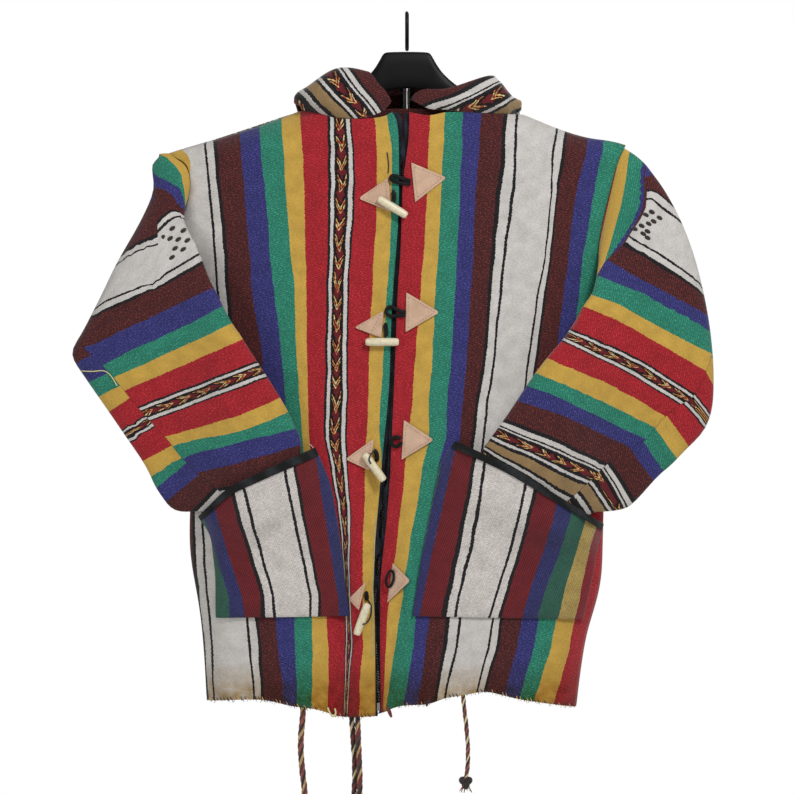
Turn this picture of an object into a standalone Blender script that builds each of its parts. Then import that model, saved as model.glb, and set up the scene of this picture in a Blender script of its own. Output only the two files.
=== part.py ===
"""Striped wool jacket with a hood, undone, hanging on a plastic clothes hanger.

Sizes in this file are millimetres; put_mesh and put_cord turn them into metres.
The origin is the point where the hanger's hook hangs. +Z is up, the front faces -Y
and +X is to the viewer's right, so the left pieces are the ones on the viewer's left.
"""
import math

import bmesh
import bpy
import numpy as np
from mathutils import Vector
from mathutils.bvhtree import BVHTree

for old in list(bpy.data.objects):
    bpy.data.objects.remove(old, do_unlink=True)

MM = 0.001
CLOTH = 2.5
LEATHER = 1.8
TAPE = 1.2
SEAM_GAP = 0.2
# share of the cloth's thickness left where it is folded sharply
PRESSED = 0.55
LAY_GAP = 0.4
SIDE_ROUNDING = 2.6

# Body: height and the place of each long edge, from the shoulder slope down to the hem
SIDE_LEFT = ((-120, -135), (-140, -194), (-159, -252), (-169, -289), (-174, -304), (-200, -302),
             (-245, -300), (-285, -293), (-325, -276), (-420, -271), (-631, -269), (-750, -257),
             (-857, -251), (-880, -250))
SIDE_RIGHT = ((-124, 146), (-142, 189), (-154, 225), (-157, 262), (-162, 274), (-200, 276),
              (-262, 274), (-312, 266), (-350, 254), (-480, 250), (-631, 246), (-706, 244),
              (-773, 225), (-857, 213), (-880, 211))
EDGE_LEFT = ((-122, -19), (-137, -10), (-231, -10), (-294, -13.5), (-340, -17.5), (-394, -20),
             (-471, -22.5), (-524, -28), (-594, -34), (-664, -40), (-705, -43), (-747, -40), (-880, -39))
EDGE_RIGHT = ((-122, 2.5), (-156, 2.5), (-187, -5), (-294, -8), (-340, -11.5), (-419, -14.5),
              (-524, -19), (-594, -22.5), (-664, -29), (-705, -34), (-747, -34), (-880, -32.5))
# height, depth of the front and depth of the back from the side seams
BODY_DEPTH = ((-115, 36, 30), (-170, 34, 32), (-230, 33, 34), (-380, 38, 38), (-520, 45, 43),
              (-630, 52, 48), (-750, 58, 52), (-880, 61, 54))
# x and height of the top edges: shoulder end, shoulder slope, neck point, neck, front edge
TOP_LEFT = ((-304, -174), (-289, -169), (-252, -159), (-194, -140), (-135, -120), (-112, -121),
            (-100, -130), (-62, -131), (-32, -128), (-19, -122))
TOP_RIGHT = ((274, -162), (265, -157), (225, -154), (189, -142), (146, -124), (100, -124),
             (74, -122), (47, -122), (29, -127), (16, -125), (2.5, -122))
NECK_LEFT = -135
NECK_RIGHT = 146
BACK_NECK_Z = -116
# x and height of the hem
HEM_LEFT = ((-252, -857), (-181, -854), (-137, -864), (-119, -865), (-75, -876), (-39, -875))
HEM_RIGHT = ((-33, -871), (-5, -861), (32, -860), (39, -852), (74, -849), (92, -843), (139, -854),
             (214, -865))
HEM_BACK = ((-252, -857), (-120, -866), (0, -870), (110, -866), (214, -865))
# height, edge of the front, edge of the back round each armhole, shoulder end to underarm
ARMHOLE_LEFT = ((-174, -304, -304), (-181, -278, -290), (-200, -270, -286), (-225, -271, -285),
                (-245, -279, -285), (-265, -280, -284), (-285, -280, -282), (-305, -279, -279),
                (-325, -276, -276))
ARMHOLE_RIGHT = ((-162, 274, 274), (-176, 266, 268), (-194, 260, 264), (-231, 251, 262),
                 (-262, 243, 262), (-290, 238, 262), (-312, 240, 261), (-332, 246, 258),
                 (-350, 254, 254))
# folds, as soft troughs (push above 0) and ridges: x and height of the top, of the foot, push, half width
FRONT_FOLDS = (
    (-27, -500, -36, -865, 11, 24),
    (-86, -600, -74, -876, 12, 9),
    (-56, -590, -57, -876, -5, 10),
    (2, -600, -4, -860, -5, 14),
    (-205, -640, -196, -860, 6, 15),
    (150, -640, 152, -860, 6, 15),
    (-150, -200, -120, -440, 3, 22),
    (120, -190, 96, -430, 3, 22),
)
BACK_FOLDS = (
    (-200, -330, -176, -865, -7, 20),
    (-96, -420, -104, -868, -9, 24),
    (20, -400, 8, -870, -7, 26),
    (118, -380, 128, -866, -9, 22),
    (-40, -560, -46, -870, 5, 18),
)

SHOULDER_STEPS = 6
NECK_SHARES = (0, 0.115, 0.24, 0.36, 0.48, 0.57, 0.63, 0.69, 0.755, 0.83, 0.915, 1)
BACK_NECK_STEPS = 6
ARM_ROWS = 8
LOWER_ROWS = 16

# Sleeves near the armhole, one row a ring: share of the way to the first flat ring, the outer
# fold's x and height, then x, y and height of the inner fold and of the cloth below the underarm
SLEEVE_LEFT_START = (
    (0.15, -312, -190, -267, -31, -276, -278, -4, -329),
    (0.38, -322, -225, -258, -37, -293, -279, -10, -333),
    (0.68, -337, -265, -249, -43, -313, -275, -17, -339),
    (1, -352, -300, -243, -56, -331, -264, -25, -347),
)
SLEEVE_RIGHT_START = (
    (0.14, 290, -172, 238, -28, -318, 256, -4, -354),
    (0.34, 308, -190, 235, -37, -327, 257, -10, -357),
    (0.56, 326, -220, 231, -44, -336, 254, -16, -360),
    (0.78, 343, -252, 229, -50, -343, 249, -22, -363),
    (1, 359, -295, 228, -58, -348, 243, -27, -366),
)
# How far the back layer of the next flat rings hangs below their line
SLEEVE_SAG = (0, 11, 5)
# Flat rings down to the cuff: outer fold x, height; inner fold x, height; thickness of the flattened
# tube; the step round the ring at which the inner fold lies
SLEEVE_LEFT = (
    (-352, -300, -242, -331, 48, 6.2),
    (-374, -340, -229, -357, 50, 6.6),
    (-398, -378, -216, -382, 50, 7.2),
    (-418, -420, -202, -404, 48, 8),
    (-412, -444, -187, -428, 45, 8),
    (-385, -481, -169, -455, 42, 8),
    (-352, -530, -151, -484, 36, 8),
    (-318, -578, -136, -513, 30, 8),
    (-301, -602, -129, -532, 25, 8),
    (-284, -622, -130, -546, 20, 8),
    (-250, -619, -132, -561, 15, 8),
    (-235, -634, -130, -577, 12, 8),
    (-224, -658, -126, -600, 12, 8),
)
SLEEVE_RIGHT = (
    (359, -295, 226, -348, 52, 6.2),
    (371, -340, 211, -370, 52, 6.6),
    (380, -385, 195, -400, 50, 7.2),
    (385, -430, 174, -425, 46, 8),
    (386, -470, 154, -450, 42, 8),
    (381, -502, 134, -481, 36, 8),
    (350, -541, 118, -505, 30, 8),
    (316, -576, 104, -524, 25, 8),
    (284, -607, 94, -538, 19, 8),
    (258, -620, 86, -550, 15, 8),
    (234, -620, 80, -562, 12, 8),
    (216, -634, 74, -574, 12, 8),
    (200, -658, 68, -588, 12, 8),
)
# height and how far outside the body's own sides the sleeve's back layer still bows forward
SLEEVE_SPREAD = ((-300, 40), (-540, 34), (-600, 14), (-660, 8))
FOLD_STEP = 6
SLEEVE_CLEAR = 3.0
# Direction that each armhole seam turns to, down the front and down the back, for the left side
ARM_TURNS_FRONT = ((0, -0.3, 0, 1), (0.25, -0.25, -1, 0.1), (0.5, 0.2, -1, 0), (0.62, 0.4, -0.9, 0),
                   (0.75, 0.7, -0.7, 0.1), (0.875, 0.8, -0.55, 0.1), (1, 0.3, 0, -0.95))
ARM_TURNS_BACK = ((0, -0.3, 0, 1), (0.25, -0.2, 1, 0.1), (0.5, -0.1, 1, 0), (0.75, -0.2, 1, -0.3),
                  (1, 0.3, 0, -0.95))

# Hood, one row for each line of the cloth from the neck seam over to the crown seam at the back:
# neck seam step, rise from the seam, then x, y, z of its crest, fall, side and crown
HOOD_LEFT = (
    (0, (-15, -3, 26), (-47, -27, -70), (-60, 10, -72), (-52, 58, -96), (0, 84, -108)),
    (2, (-22, -8, 34), (-77, -27, -62), (-90, 14, -72), (-80, 68, -110), (0, 94, -135)),
    (5, (-30, -9, 28), (-108, -25, -77), (-116, 18, -86), (-102, 74, -130), (0, 98, -165)),
    (8.5, (-18, -9, 16), (-128, -22, -94), (-133, 18, -93), (-118, 76, -155), (0, 98, -200)),
    (10, (-9, -2, 10), (-138, -7, -103), (-140, 16, -101), (-125, 70, -176), (0, 96, -225)),
    (11, (-4, 4, 7), (-140, 6, -112), (-139, 20, -112), (-124, 61, -190), (0, 92, -245)),
    (12, (-4, 6, 8), (-119, 31, -108), (-118, 39, -113), (-108, 56, -200), (0, 88, -262)),
    (14, (-1, 7, 10), (-66, 40, -104), (-66, 48, -125), (-58, 54, -215), (0, 78, -286)),
    (17, (0, 7, 10), (0, 43, -104), (0, 50, -125), (0, 54, -215), (0, 62, -300)),
)
HOOD_RIGHT = (
    (0, (26, -6, 18), (105, -24, -74), (112, 18, -79), (72, 62, -98), (0, 84, -108)),
    (1.6, (38, -10, 24), (113, -25, -82), (121, 18, -88), (94, 68, -115), (0, 94, -135)),
    (4.5, (36, -11, 18), (122, -25, -92), (129, 18, -98), (110, 74, -135), (0, 98, -165)),
    (8, (20, -9, 10), (136, -22, -103), (141, 16, -100), (124, 76, -158), (0, 98, -200)),
    (10, (9, -2, 8), (148, -7, -108), (151, 16, -106), (131, 70, -178), (0, 96, -225)),
    (11, (4, 4, 6), (150, 6, -116), (149, 20, -116), (130, 61, -192), (0, 92, -245)),
    (12, (4, 6, 8), (129, 31, -111), (127, 39, -116), (114, 56, -202), (0, 88, -262)),
    (14, (1, 7, 10), (77, 40, -106), (76, 48, -127), (66, 54, -217), (0, 78, -286)),
    (17, (0, 7, 10), (0, 43, -104), (0, 50, -125), (0, 54, -215), (0, 62, -300)),
)
HOOD_SPAN = (0, 0.14, 0.3, 0.44, 0.68, 1)
HOOD_STEPS = 12

# Pockets: x and height of the sewn sides from the mouth down, outer side first
POCKET_LEFT = {
    "outer": ((-261, -627), (-245, -650), (-239, -700), (-239, -753)),
    "inner": ((-114, -540), (-95, -584), (-85, -640), (-72, -750)),
    "mouth": ((-261, -627), (-225, -591), (-172, -566), (-114, -540)),
}
POCKET_RIGHT = {
    "outer": ((246, -636), (239, -665), (230, -710), (220, -755)),
    "inner": ((60, -532), (40, -560), (24, -640), (6, -750)),
    "mouth": ((246, -636), (189, -601), (128, -563), (60, -532)),
}
POCKET_STEPS = 11
# how far the cuff inside may push a pocket out beyond its own most forward point
POCKET_ROOM = 3.0
BINDING_WIDTH = 10.0

# Leather patches: three corners, x and height, the tip last
PATCHES = {
    "patch_right_1": ((5, -185), (10, -235), (50, -204)),
    "patch_right_2": ((-1, -347), (-2, -397), (41, -372)),
    "patch_right_3": ((-4, -506), (-7, -556), (34, -531)),
    "patch_right_4": ((-18, -684), (-25, -734), (4, -706)),
    "patch_left_1": ((-23, -204), (-20, -247), (-61, -230)),
    "patch_left_2": ((-29, -370), (-32, -404), (-66, -391)),
    "patch_left_3": ((-41, -529), (-47, -569), (-77, -555)),
    "patch_left_4": ((-51, -707), (-60, -743), (-73, -729)),
}
PATCH_STEPS = 4

# Toggles: the middle's x and height, and the angle of the axis above level
TOGGLES = {
    "toggle_1": (-18, -241, -31),
    "toggle_2": (-31, -409, 0),
    "toggle_3": (-41, -565, -53),
    "toggle_4": (-56, -754, 70),
}
TOGGLE_LENGTH = 42.0
TOGGLE_RADIUS = 5.5
TOGGLE_SIDES = 12

# Thin black cords that the patches hold: x and height along each
PATCH_CORD = 3.0
PATCH_CORDS = {
    "toggle_cord_1": ((-17, -222), (-16, -230), (-17, -234)),
    "toggle_cord_2": ((-27, -386), (-26, -396), (-26, -401)),
    "toggle_cord_3": ((-39, -545), (-37, -552), (-38, -557)),
    "toggle_cord_4": ((-51, -720), (-50, -726), (-50, -730)),
    "loop_cord_1": ((4, -212), (-7, -211), (-18, -208), (-21, -204), (-17, -201), (-6, -205), (4, -208)),
    "loop_cord_2": ((-3, -376), (-13, -376), (-20, -377), (-26, -373), (-25, -367), (-19, -365),
                    (-12, -369), (-3, -372)),
    "loop_cord_3": ((-7, -534), (-12, -539), (-18, -538), (-19, -531), (-15, -527), (-8, -529)),
    "loop_cord_4": ((-22, -706), (-27, -713), (-27, -722), (-23, -724), (-19, -716), (-17, -706)),
}

# Hem cords: diameter, then x and height along each from inside the hem down to the knot
HEM_CORDS = {
    "hem_cord_1": (7.5, ((-129, -848), (-130, -880), (-132, -905), (-131, -935), (-128, -965), (-128, -990))),
    "hem_cord_2": (7.0, ((-72, -856), (-70, -888), (-67, -915), (-64, -945), (-66, -975), (-65, -1000))),
    "hem_cord_3": (7.0, ((-61, -857), (-60, -888), (-59, -915), (-57, -945), (-57, -975), (-56, -996))),
    "hem_cord_4": (5.4, ((69, -834), (71, -862), (74, -890), (76, -915), (75, -940), (73, -954))),
}

# Zip: each half's tape lies behind its front edge
ZIP_TAPE_WIDTH = 13.0
ZIP_APART = 0.8

# Hanger: distance from the middle, top, bottom and half depth
HANGER = (
    (0, -45.6, -91, 5.5),
    (22, -45.6, -95, 5.5),
    (29, -46.5, -98, 5.6),
    (32, -52, -100, 5.8),
    (40, -67, -106, 6),
    (54, -82, -112, 6.5),
    (75, -96, -120, 7),
    (100, -108, -128, 7),
    (128, -122, -138, 7),
    (160, -137, -152, 7),
    (190, -149, -163, 7.5),
    (208, -156, -169, 7.5),
)
HANGER_TIP = 6.0
HOOK_RADIUS = 2.6
HOOK_BEND = 14.0


def smooth(table, at, column=1):
    """Value of a table's column, by a cubic that never overshoots its rows."""
    keys = [row[0] for row in table]
    values = [row[column] for row in table]
    if keys[0] > keys[-1]:
        keys = [-key for key in keys]
        at = -at
    if at <= keys[0]:
        return values[0]
    if at >= keys[-1]:
        return values[-1]
    slopes = [(values[i + 1] - values[i]) / (keys[i + 1] - keys[i]) for i in range(len(keys) - 1)]
    k = max(i for i in range(len(keys) - 1) if keys[i] <= at)
    span = keys[k + 1] - keys[k]

    def tangent(i):
        if i == 0:
            return slopes[0]
        if i == len(keys) - 1:
            return slopes[-1]
        if slopes[i - 1] * slopes[i] <= 0:
            return 0.0
        return 2 * slopes[i - 1] * slopes[i] / (slopes[i - 1] + slopes[i])

    t = (at - keys[k]) / span
    first = values[k] * (2 * t ** 3 - 3 * t ** 2 + 1) + tangent(k) * span * (t ** 3 - 2 * t ** 2 + t)
    second = values[k + 1] * (3 * t ** 2 - 2 * t ** 3) + tangent(k + 1) * span * (t ** 3 - t ** 2)
    return first + second


def folds(table, x, z):
    """Depth that the folds add at a place; each fades in from its top."""
    total = 0.0
    for top_x, top_z, foot_x, foot_z, push, half_width in table:
        down = (top_z - z) / (top_z - foot_z)
        if down <= 0:
            continue
        centre = top_x + (foot_x - top_x) * down
        fade = min(1.0, down / 0.35)
        total += push * fade * fade * (3 - 2 * fade) * math.exp(-((x - centre) / half_width) ** 2)
    return total


def roundness(x, z):
    """1 in the middle of the body, falling to 0 at the side seams."""
    left = smooth(SIDE_LEFT, z)
    right = smooth(SIDE_RIGHT, z)
    across = min(1.0, abs(x - (left + right) / 2) / ((right - left) / 2))
    return math.sqrt(1 - across ** SIDE_ROUNDING)


def front_y(x, z):
    share = roundness(x, z)
    return -smooth(BODY_DEPTH, z, 1) * share + folds(FRONT_FOLDS, x, z) * share


def back_y(x, z):
    share = roundness(x, z)
    return smooth(BODY_DEPTH, z, 2) * share - folds(BACK_FOLDS, x, z) * share


def unit(vectors):
    vectors = np.asarray(vectors, float)
    length = np.linalg.norm(vectors, axis=-1, keepdims=True)
    return vectors / np.where(length > 1e-9, length, 1)


def grid_normals(points, wrap=False):
    """Normals of a grid of points, each the mean of the facets round it."""
    points = np.asarray(points, float)
    if wrap:
        points = np.concatenate([points, points[:, :1]], axis=1)
    corners = points[:-1, :-1], points[:-1, 1:], points[1:, :-1], points[1:, 1:]
    facets = unit(np.cross(corners[3] - corners[0], corners[1] - corners[2]))
    normals = np.zeros_like(points)
    for a, b in ((0, 0), (0, 1), (1, 0), (1, 1)):
        rows = slice(a, len(points) - 1 + a)
        columns = slice(b, points.shape[1] - 1 + b)
        normals[rows, columns] += facets
    if wrap:
        normals[:, 0] += normals[:, -1]
        normals = normals[:, :-1]
    return unit(normals)


def material(name, colour, roughness, metallic=0.0):
    made = bpy.data.materials.new(name)
    made.use_nodes = True
    shader = made.node_tree.nodes["Principled BSDF"]
    shader.inputs["Base Color"].default_value = (*colour, 1)
    shader.inputs["Roughness"].default_value = roughness
    shader.inputs["Metallic"].default_value = metallic
    return made


WOOL = material("striped wool", (0.32, 0.07, 0.05), 0.95)
WOOL_SLEEVE = material("striped wool sleeves", (0.25, 0.2, 0.05), 0.95)
SUEDE = material("suede", (0.69, 0.5, 0.36), 0.9)
BONE = material("bone", (0.8, 0.74, 0.56), 0.5)
BLACK_TAPE = material("black braid", (0.015, 0.015, 0.018), 0.85)
BLACK_CORD = material("black cord", (0.01, 0.01, 0.01), 0.7)
TWISTED = material("twisted yarn", (0.25, 0.08, 0.04), 0.9)
HANGER_PLASTIC = material("black plastic", (0.012, 0.013, 0.015), 0.35)


def put_mesh(name, points, faces, finish):
    """One closed object from points in millimetres."""
    mesh = bpy.data.meshes.new(name)
    mesh.from_pydata([tuple(np.asarray(p) * MM) for p in points], [], faces)
    shape = bmesh.new()
    shape.from_mesh(mesh)
    bmesh.ops.recalc_face_normals(shape, faces=shape.faces)
    bmesh.ops.triangulate(shape, faces=shape.faces, quad_method="SHORT_EDGE")
    if shape.calc_volume(signed=True) < 0:
        bmesh.ops.reverse_faces(shape, faces=shape.faces)
    shape.to_mesh(mesh)
    shape.free()
    mesh.materials.append(finish)
    made = bpy.data.objects.new(name, mesh)
    bpy.context.collection.objects.link(made)
    return made


def grid_faces(rows, columns, start, wrap=False, flip=False):
    faces = []
    last = columns if wrap else columns - 1
    for i in range(rows - 1):
        for j in range(last):
            k = (j + 1) % columns
            face = (start + i * columns + j, start + i * columns + k,
                    start + (i + 1) * columns + k, start + (i + 1) * columns + j)
            faces.append(face[::-1] if flip else face)
    return faces


def wall(name, outer, inner, finish, wrap=False):
    """A closed wall between two grids of points, with its rims."""
    outer = np.asarray(outer, float)
    inner = np.asarray(inner, float)
    rows, columns = outer.shape[:2]
    second = rows * columns
    points = list(outer.reshape(-1, 3)) + list(inner.reshape(-1, 3))
    faces = grid_faces(rows, columns, 0, wrap)
    faces += grid_faces(rows, columns, second, wrap, flip=True)
    rims = [[j for j in range(columns)], [(rows - 1) * columns + j for j in range(columns)]]
    if wrap:
        rims = [rim + rim[:1] for rim in rims]
    else:
        rims += [[i * columns for i in range(rows)], [i * columns + columns - 1 for i in range(rows)]]
    for rim in rims:
        for a, b in zip(rim, rim[1:]):
            faces.append((a, b, b + second, a + second))
    return put_mesh(name, points, faces, finish)


def put_cord(name, route, diameter, finish, resolution=2):
    """A round cord as a curve object with a bevel and filled ends."""
    curve = bpy.data.curves.new(name, "CURVE")
    curve.dimensions = "3D"
    curve.bevel_depth = diameter / 2 * MM
    curve.bevel_resolution = resolution
    curve.use_fill_caps = True
    spline = curve.splines.new("POLY")
    spline.points.add(len(route) - 1)
    for place, point in zip(spline.points, route):
        place.co = (*(np.asarray(point) * MM), 1)
    curve.materials.append(finish)
    made = bpy.data.objects.new(name, curve)
    bpy.context.collection.objects.link(made)
    return made


def through(points, spacing):
    """Points every few millimetres on a smooth curve through the given ones."""
    points = np.asarray(points, float)
    padded = np.vstack([2 * points[0] - points[1], points, 2 * points[-1] - points[-2]])
    dense = []
    for a, b, c, d in zip(padded, padded[1:], padded[2:], padded[3:]):
        for t in np.linspace(0, 1, 24, endpoint=False):
            dense.append(0.5 * (2 * b + (c - a) * t + (2 * a - 5 * b + 4 * c - d) * t ** 2
                                + (3 * b - a - 3 * c + d) * t ** 3))
    dense.append(points[-1])
    dense = np.array(dense)
    run = np.concatenate([[0], np.cumsum(np.linalg.norm(np.diff(dense, axis=0), axis=1))])
    count = max(3, int(round(run[-1] / spacing)) + 1)
    marks = np.linspace(0, run[-1], count)
    return np.stack([np.interp(marks, run, dense[:, k]) for k in range(3)], axis=1)


def shares_from(neck_share):
    """Column places from the side to the front edge, closer together near the middle."""
    shoulder = [neck_share * k / SHOULDER_STEPS for k in range(SHOULDER_STEPS)]
    return shoulder + [neck_share + (1 - neck_share) * share for share in NECK_SHARES]


def body_grid(columns, top_z, edge_x, hem_z, armhole, arm_column, depth):
    """Grid of a body panel between the armhole side and the other edge.

    columns are shares from the side to the edge, edge_x gives the edge at a height.
    """
    first = armhole[0][0]
    under = armhole[-1][0]
    side = SIDE_LEFT if armhole[0][1] < 0 else SIDE_RIGHT
    grid = []
    for row in range(ARM_ROWS + LOWER_ROWS + 1):
        line = []
        for share in columns:
            if row <= ARM_ROWS:
                part = (armhole[row][0] - first) / (under - first)
                side_x = armhole[row][arm_column]
                top = top_z(share)
                z = top + (under - top) * part
            else:
                part = (row - ARM_ROWS) / LOWER_ROWS
                z_side = under + (hem_z(smooth(side, -857)) - under) * part
                side_x = smooth(side, z_side)
                x_guess = side_x + (edge_x(z_side) - side_x) * share
                z = under + (hem_z(x_guess) - under) * part
            x = side_x + (edge_x(z) - side_x) * share
            line.append((x, depth(x, z), z))
        grid.append(line)
    return np.array(grid)


def top_of(table):
    """Height of a panel's top edge for a share of the way from its side to its front edge."""
    start = table[0][0]
    end = table[-1][0]

    def height(share):
        x = start + (end - start) * share
        rows = sorted(table)
        return float(np.interp(x, [row[0] for row in rows], [row[1] for row in rows]))

    return height


def heights(table):
    rows = sorted(table)

    def height(x):
        return smooth(rows, x)

    return height


def ridge_normals(line):
    """Upright normals of a line of points that run along a shoulder."""
    along = np.gradient(line, axis=0)
    flat = np.stack([-along[:, 2], np.zeros(len(line)), along[:, 0]], axis=1)
    flat *= np.sign(flat[:, 2])[:, None]
    return unit(flat)


def pull(line, towards, gap=SEAM_GAP):
    """A seam's points drawn back by the gap towards the next points of their own piece."""
    return line + unit(towards - line) * gap


def panel(name, grid, outward, side_x, shoulder, arm_rows_normals):
    """A body panel's wall, with its seam edges turned to meet the next piece."""
    normals = grid_normals(grid)
    if np.dot(normals[10, 5], outward) < 0:
        normals = -normals
    normals[0, shoulder] = ridge_normals(grid[0])[shoulder]
    for column in np.flatnonzero(shoulder & ~(np.roll(shoulder, 1) & np.roll(shoulder, -1))):
        if 0 < column < len(shoulder) - 1:
            normals[0, column] = unit((math.copysign(1, grid[0, column, 0]), 0, 0.7))
    for column, sign in side_x:
        normals[ARM_ROWS:, column] = (sign, 0, 0)
    for column, turned in arm_rows_normals:
        normals[1:ARM_ROWS + 1, column] = turned[1:]
    outer = grid.copy()
    outer[0] = pull(grid[0], grid[1])
    for column, sign in side_x:
        beside = column + 1 if column == 0 else column - 1
        outer[1:, column] = pull(grid[1:, column], grid[1:, beside])
    inner = outer - normals * CLOTH
    wall(name, outer, inner, WOOL)
    return outer, inner, normals


def armhole_turns(sign):
    """Normals round an armhole, between those of the body and of the sleeve."""
    lines = []
    for table in (ARM_TURNS_FRONT, ARM_TURNS_BACK):
        line = [[smooth(table, k / ARM_ROWS, axis) for axis in (1, 2, 3)] for k in range(ARM_ROWS + 1)]
        lines.append(unit(np.array(line) * (-sign, 1, 1)))
    return lines


def build_body():
    shares_left = shares_from((NECK_LEFT - TOP_LEFT[0][0]) / (TOP_LEFT[-1][0] - TOP_LEFT[0][0]))
    shares_right = shares_from((NECK_RIGHT - TOP_RIGHT[0][0]) / (TOP_RIGHT[-1][0] - TOP_RIGHT[0][0]))
    left = body_grid(shares_left, top_of(TOP_LEFT), lambda z: smooth(EDGE_LEFT, z),
                     heights(HEM_LEFT), ARMHOLE_LEFT, 1, front_y)
    right = body_grid(shares_right, top_of(TOP_RIGHT), lambda z: smooth(EDGE_RIGHT, z),
                      heights(HEM_RIGHT), ARMHOLE_RIGHT, 1, front_y)
    half = 0.0

    def back_half(shares, table, armhole, neck_x):
        neck = [neck_x + (half - neck_x) * k / BACK_NECK_STEPS for k in range(1, BACK_NECK_STEPS + 1)]
        start = table[0][0]
        places = [start + (table[-1][0] - start) * share for share in shares[:SHOULDER_STEPS + 1]] + neck
        columns = [(x - start) / (half - start) for x in places]
        top = top_of(table)

        def top_z(share):
            x = start + (half - start) * share
            beyond = (x - neck_x) / (half - neck_x)
            if beyond <= 0:
                return top((x - start) / (table[-1][0] - start))
            neck_z = top((neck_x - start) / (table[-1][0] - start))
            return neck_z + (BACK_NECK_Z - neck_z) * math.sin(beyond * math.pi / 2)

        return body_grid(columns, top_z, lambda z: half, heights(HEM_BACK), armhole, 2, back_y)

    back_left = back_half(shares_left, TOP_LEFT, ARMHOLE_LEFT, NECK_LEFT)
    back_right = back_half(shares_right, TOP_RIGHT, ARMHOLE_RIGHT, NECK_RIGHT)
    middle = (back_left[:, -1] + back_right[:, -1]) / 2
    back = np.concatenate([back_left[:, :-1], middle[:, None], back_right[:, -2::-1]], axis=1)

    for grid in (left, right):
        grid[0, :SHOULDER_STEPS + 1, 1] = 0
        grid[ARM_ROWS:, 0, 1] = 0
    back[0, :SHOULDER_STEPS + 1, 1] = 0
    back[0, -SHOULDER_STEPS - 1:, 1] = 0
    back[ARM_ROWS:, 0] = left[ARM_ROWS:, 0]
    back[ARM_ROWS:, -1] = right[ARM_ROWS:, 0]

    arm_left = armhole_turns(-1)
    arm_right = armhole_turns(1)
    shoulder = np.zeros(left.shape[1], bool)
    shoulder[:SHOULDER_STEPS + 1] = True
    both = np.zeros(back.shape[1], bool)
    both[:SHOULDER_STEPS + 1] = True
    both[-SHOULDER_STEPS - 1:] = True
    forward = (0, -1, 0)
    pieces = {
        "front_left": panel("front_left", left, forward, ((0, -1),), shoulder, ((0, arm_left[0]),)),
        "front_right": panel("front_right", right, forward, ((0, 1),), shoulder, ((0, arm_right[0]),)),
        "back": panel("back", back, (0, 1, 0), ((0, -1), (-1, 1)), both,
                      ((0, arm_left[1]), (-1, arm_right[1]))),
    }
    loops = {}
    for side, front, column, turns in (("left", left, 0, arm_left), ("right", right, -1, arm_right)):
        rows = slice(0, ARM_ROWS + 1)
        loop = np.concatenate([front[rows, 0], back[rows, column][-2:0:-1]])
        turned = np.concatenate([turns[0], turns[1][-2:0:-1]])
        loops[side] = (loop, turned)
    return pieces, loops


def rest_y(x, z):
    """Where a sleeve's back layer lies: on the body, and bowing back beyond its sides."""
    left = smooth(SIDE_LEFT, z)
    right = smooth(SIDE_RIGHT, z)
    half = (right - left) / 2 + smooth(SLEEVE_SPREAD, z)
    across = min(1.0, abs(x - (left + right) / 2) / half)
    lean = min(1.0, (1 - across) / 0.36)
    bowed = 8 - (smooth(BODY_DEPTH, z, 1) + 8) * lean * lean * (3 - 2 * lean)
    return min(bowed, front_y(x, z))


def sleeve_ring(row):
    """Points of one flattened section of a sleeve, first the outer fold, then over the front layer."""
    outer_x, outer_z, inner_x, inner_z, thick, fold_step = row
    points = []
    for k in range(2 * ARM_ROWS):
        if k <= fold_step:
            angle = math.pi * k / fold_step
        else:
            angle = math.pi + math.pi * (k - fold_step) / (2 * ARM_ROWS - fold_step)
        share = (1 - math.cos(angle)) / 2
        x = outer_x + (inner_x - outer_x) * share
        z = outer_z + (inner_z - outer_z) * share
        turn = math.sin(angle)
        lift = -abs(turn) ** 0.7 if turn > 0 else abs(turn) ** 0.5
        points.append((x, rest_y(x, z) - SLEEVE_CLEAR + thick / 2 * (lift - 1), z))
    return np.array(points)


def nearness(step, centre, reach):
    """1 at a step round the sleeve, falling softly to 0 at the reach."""
    apart = abs((step - centre + ARM_ROWS) % (2 * ARM_ROWS) - ARM_ROWS)
    return 0.5 + 0.5 * math.cos(math.pi * apart / reach) if apart < reach else 0.0


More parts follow.
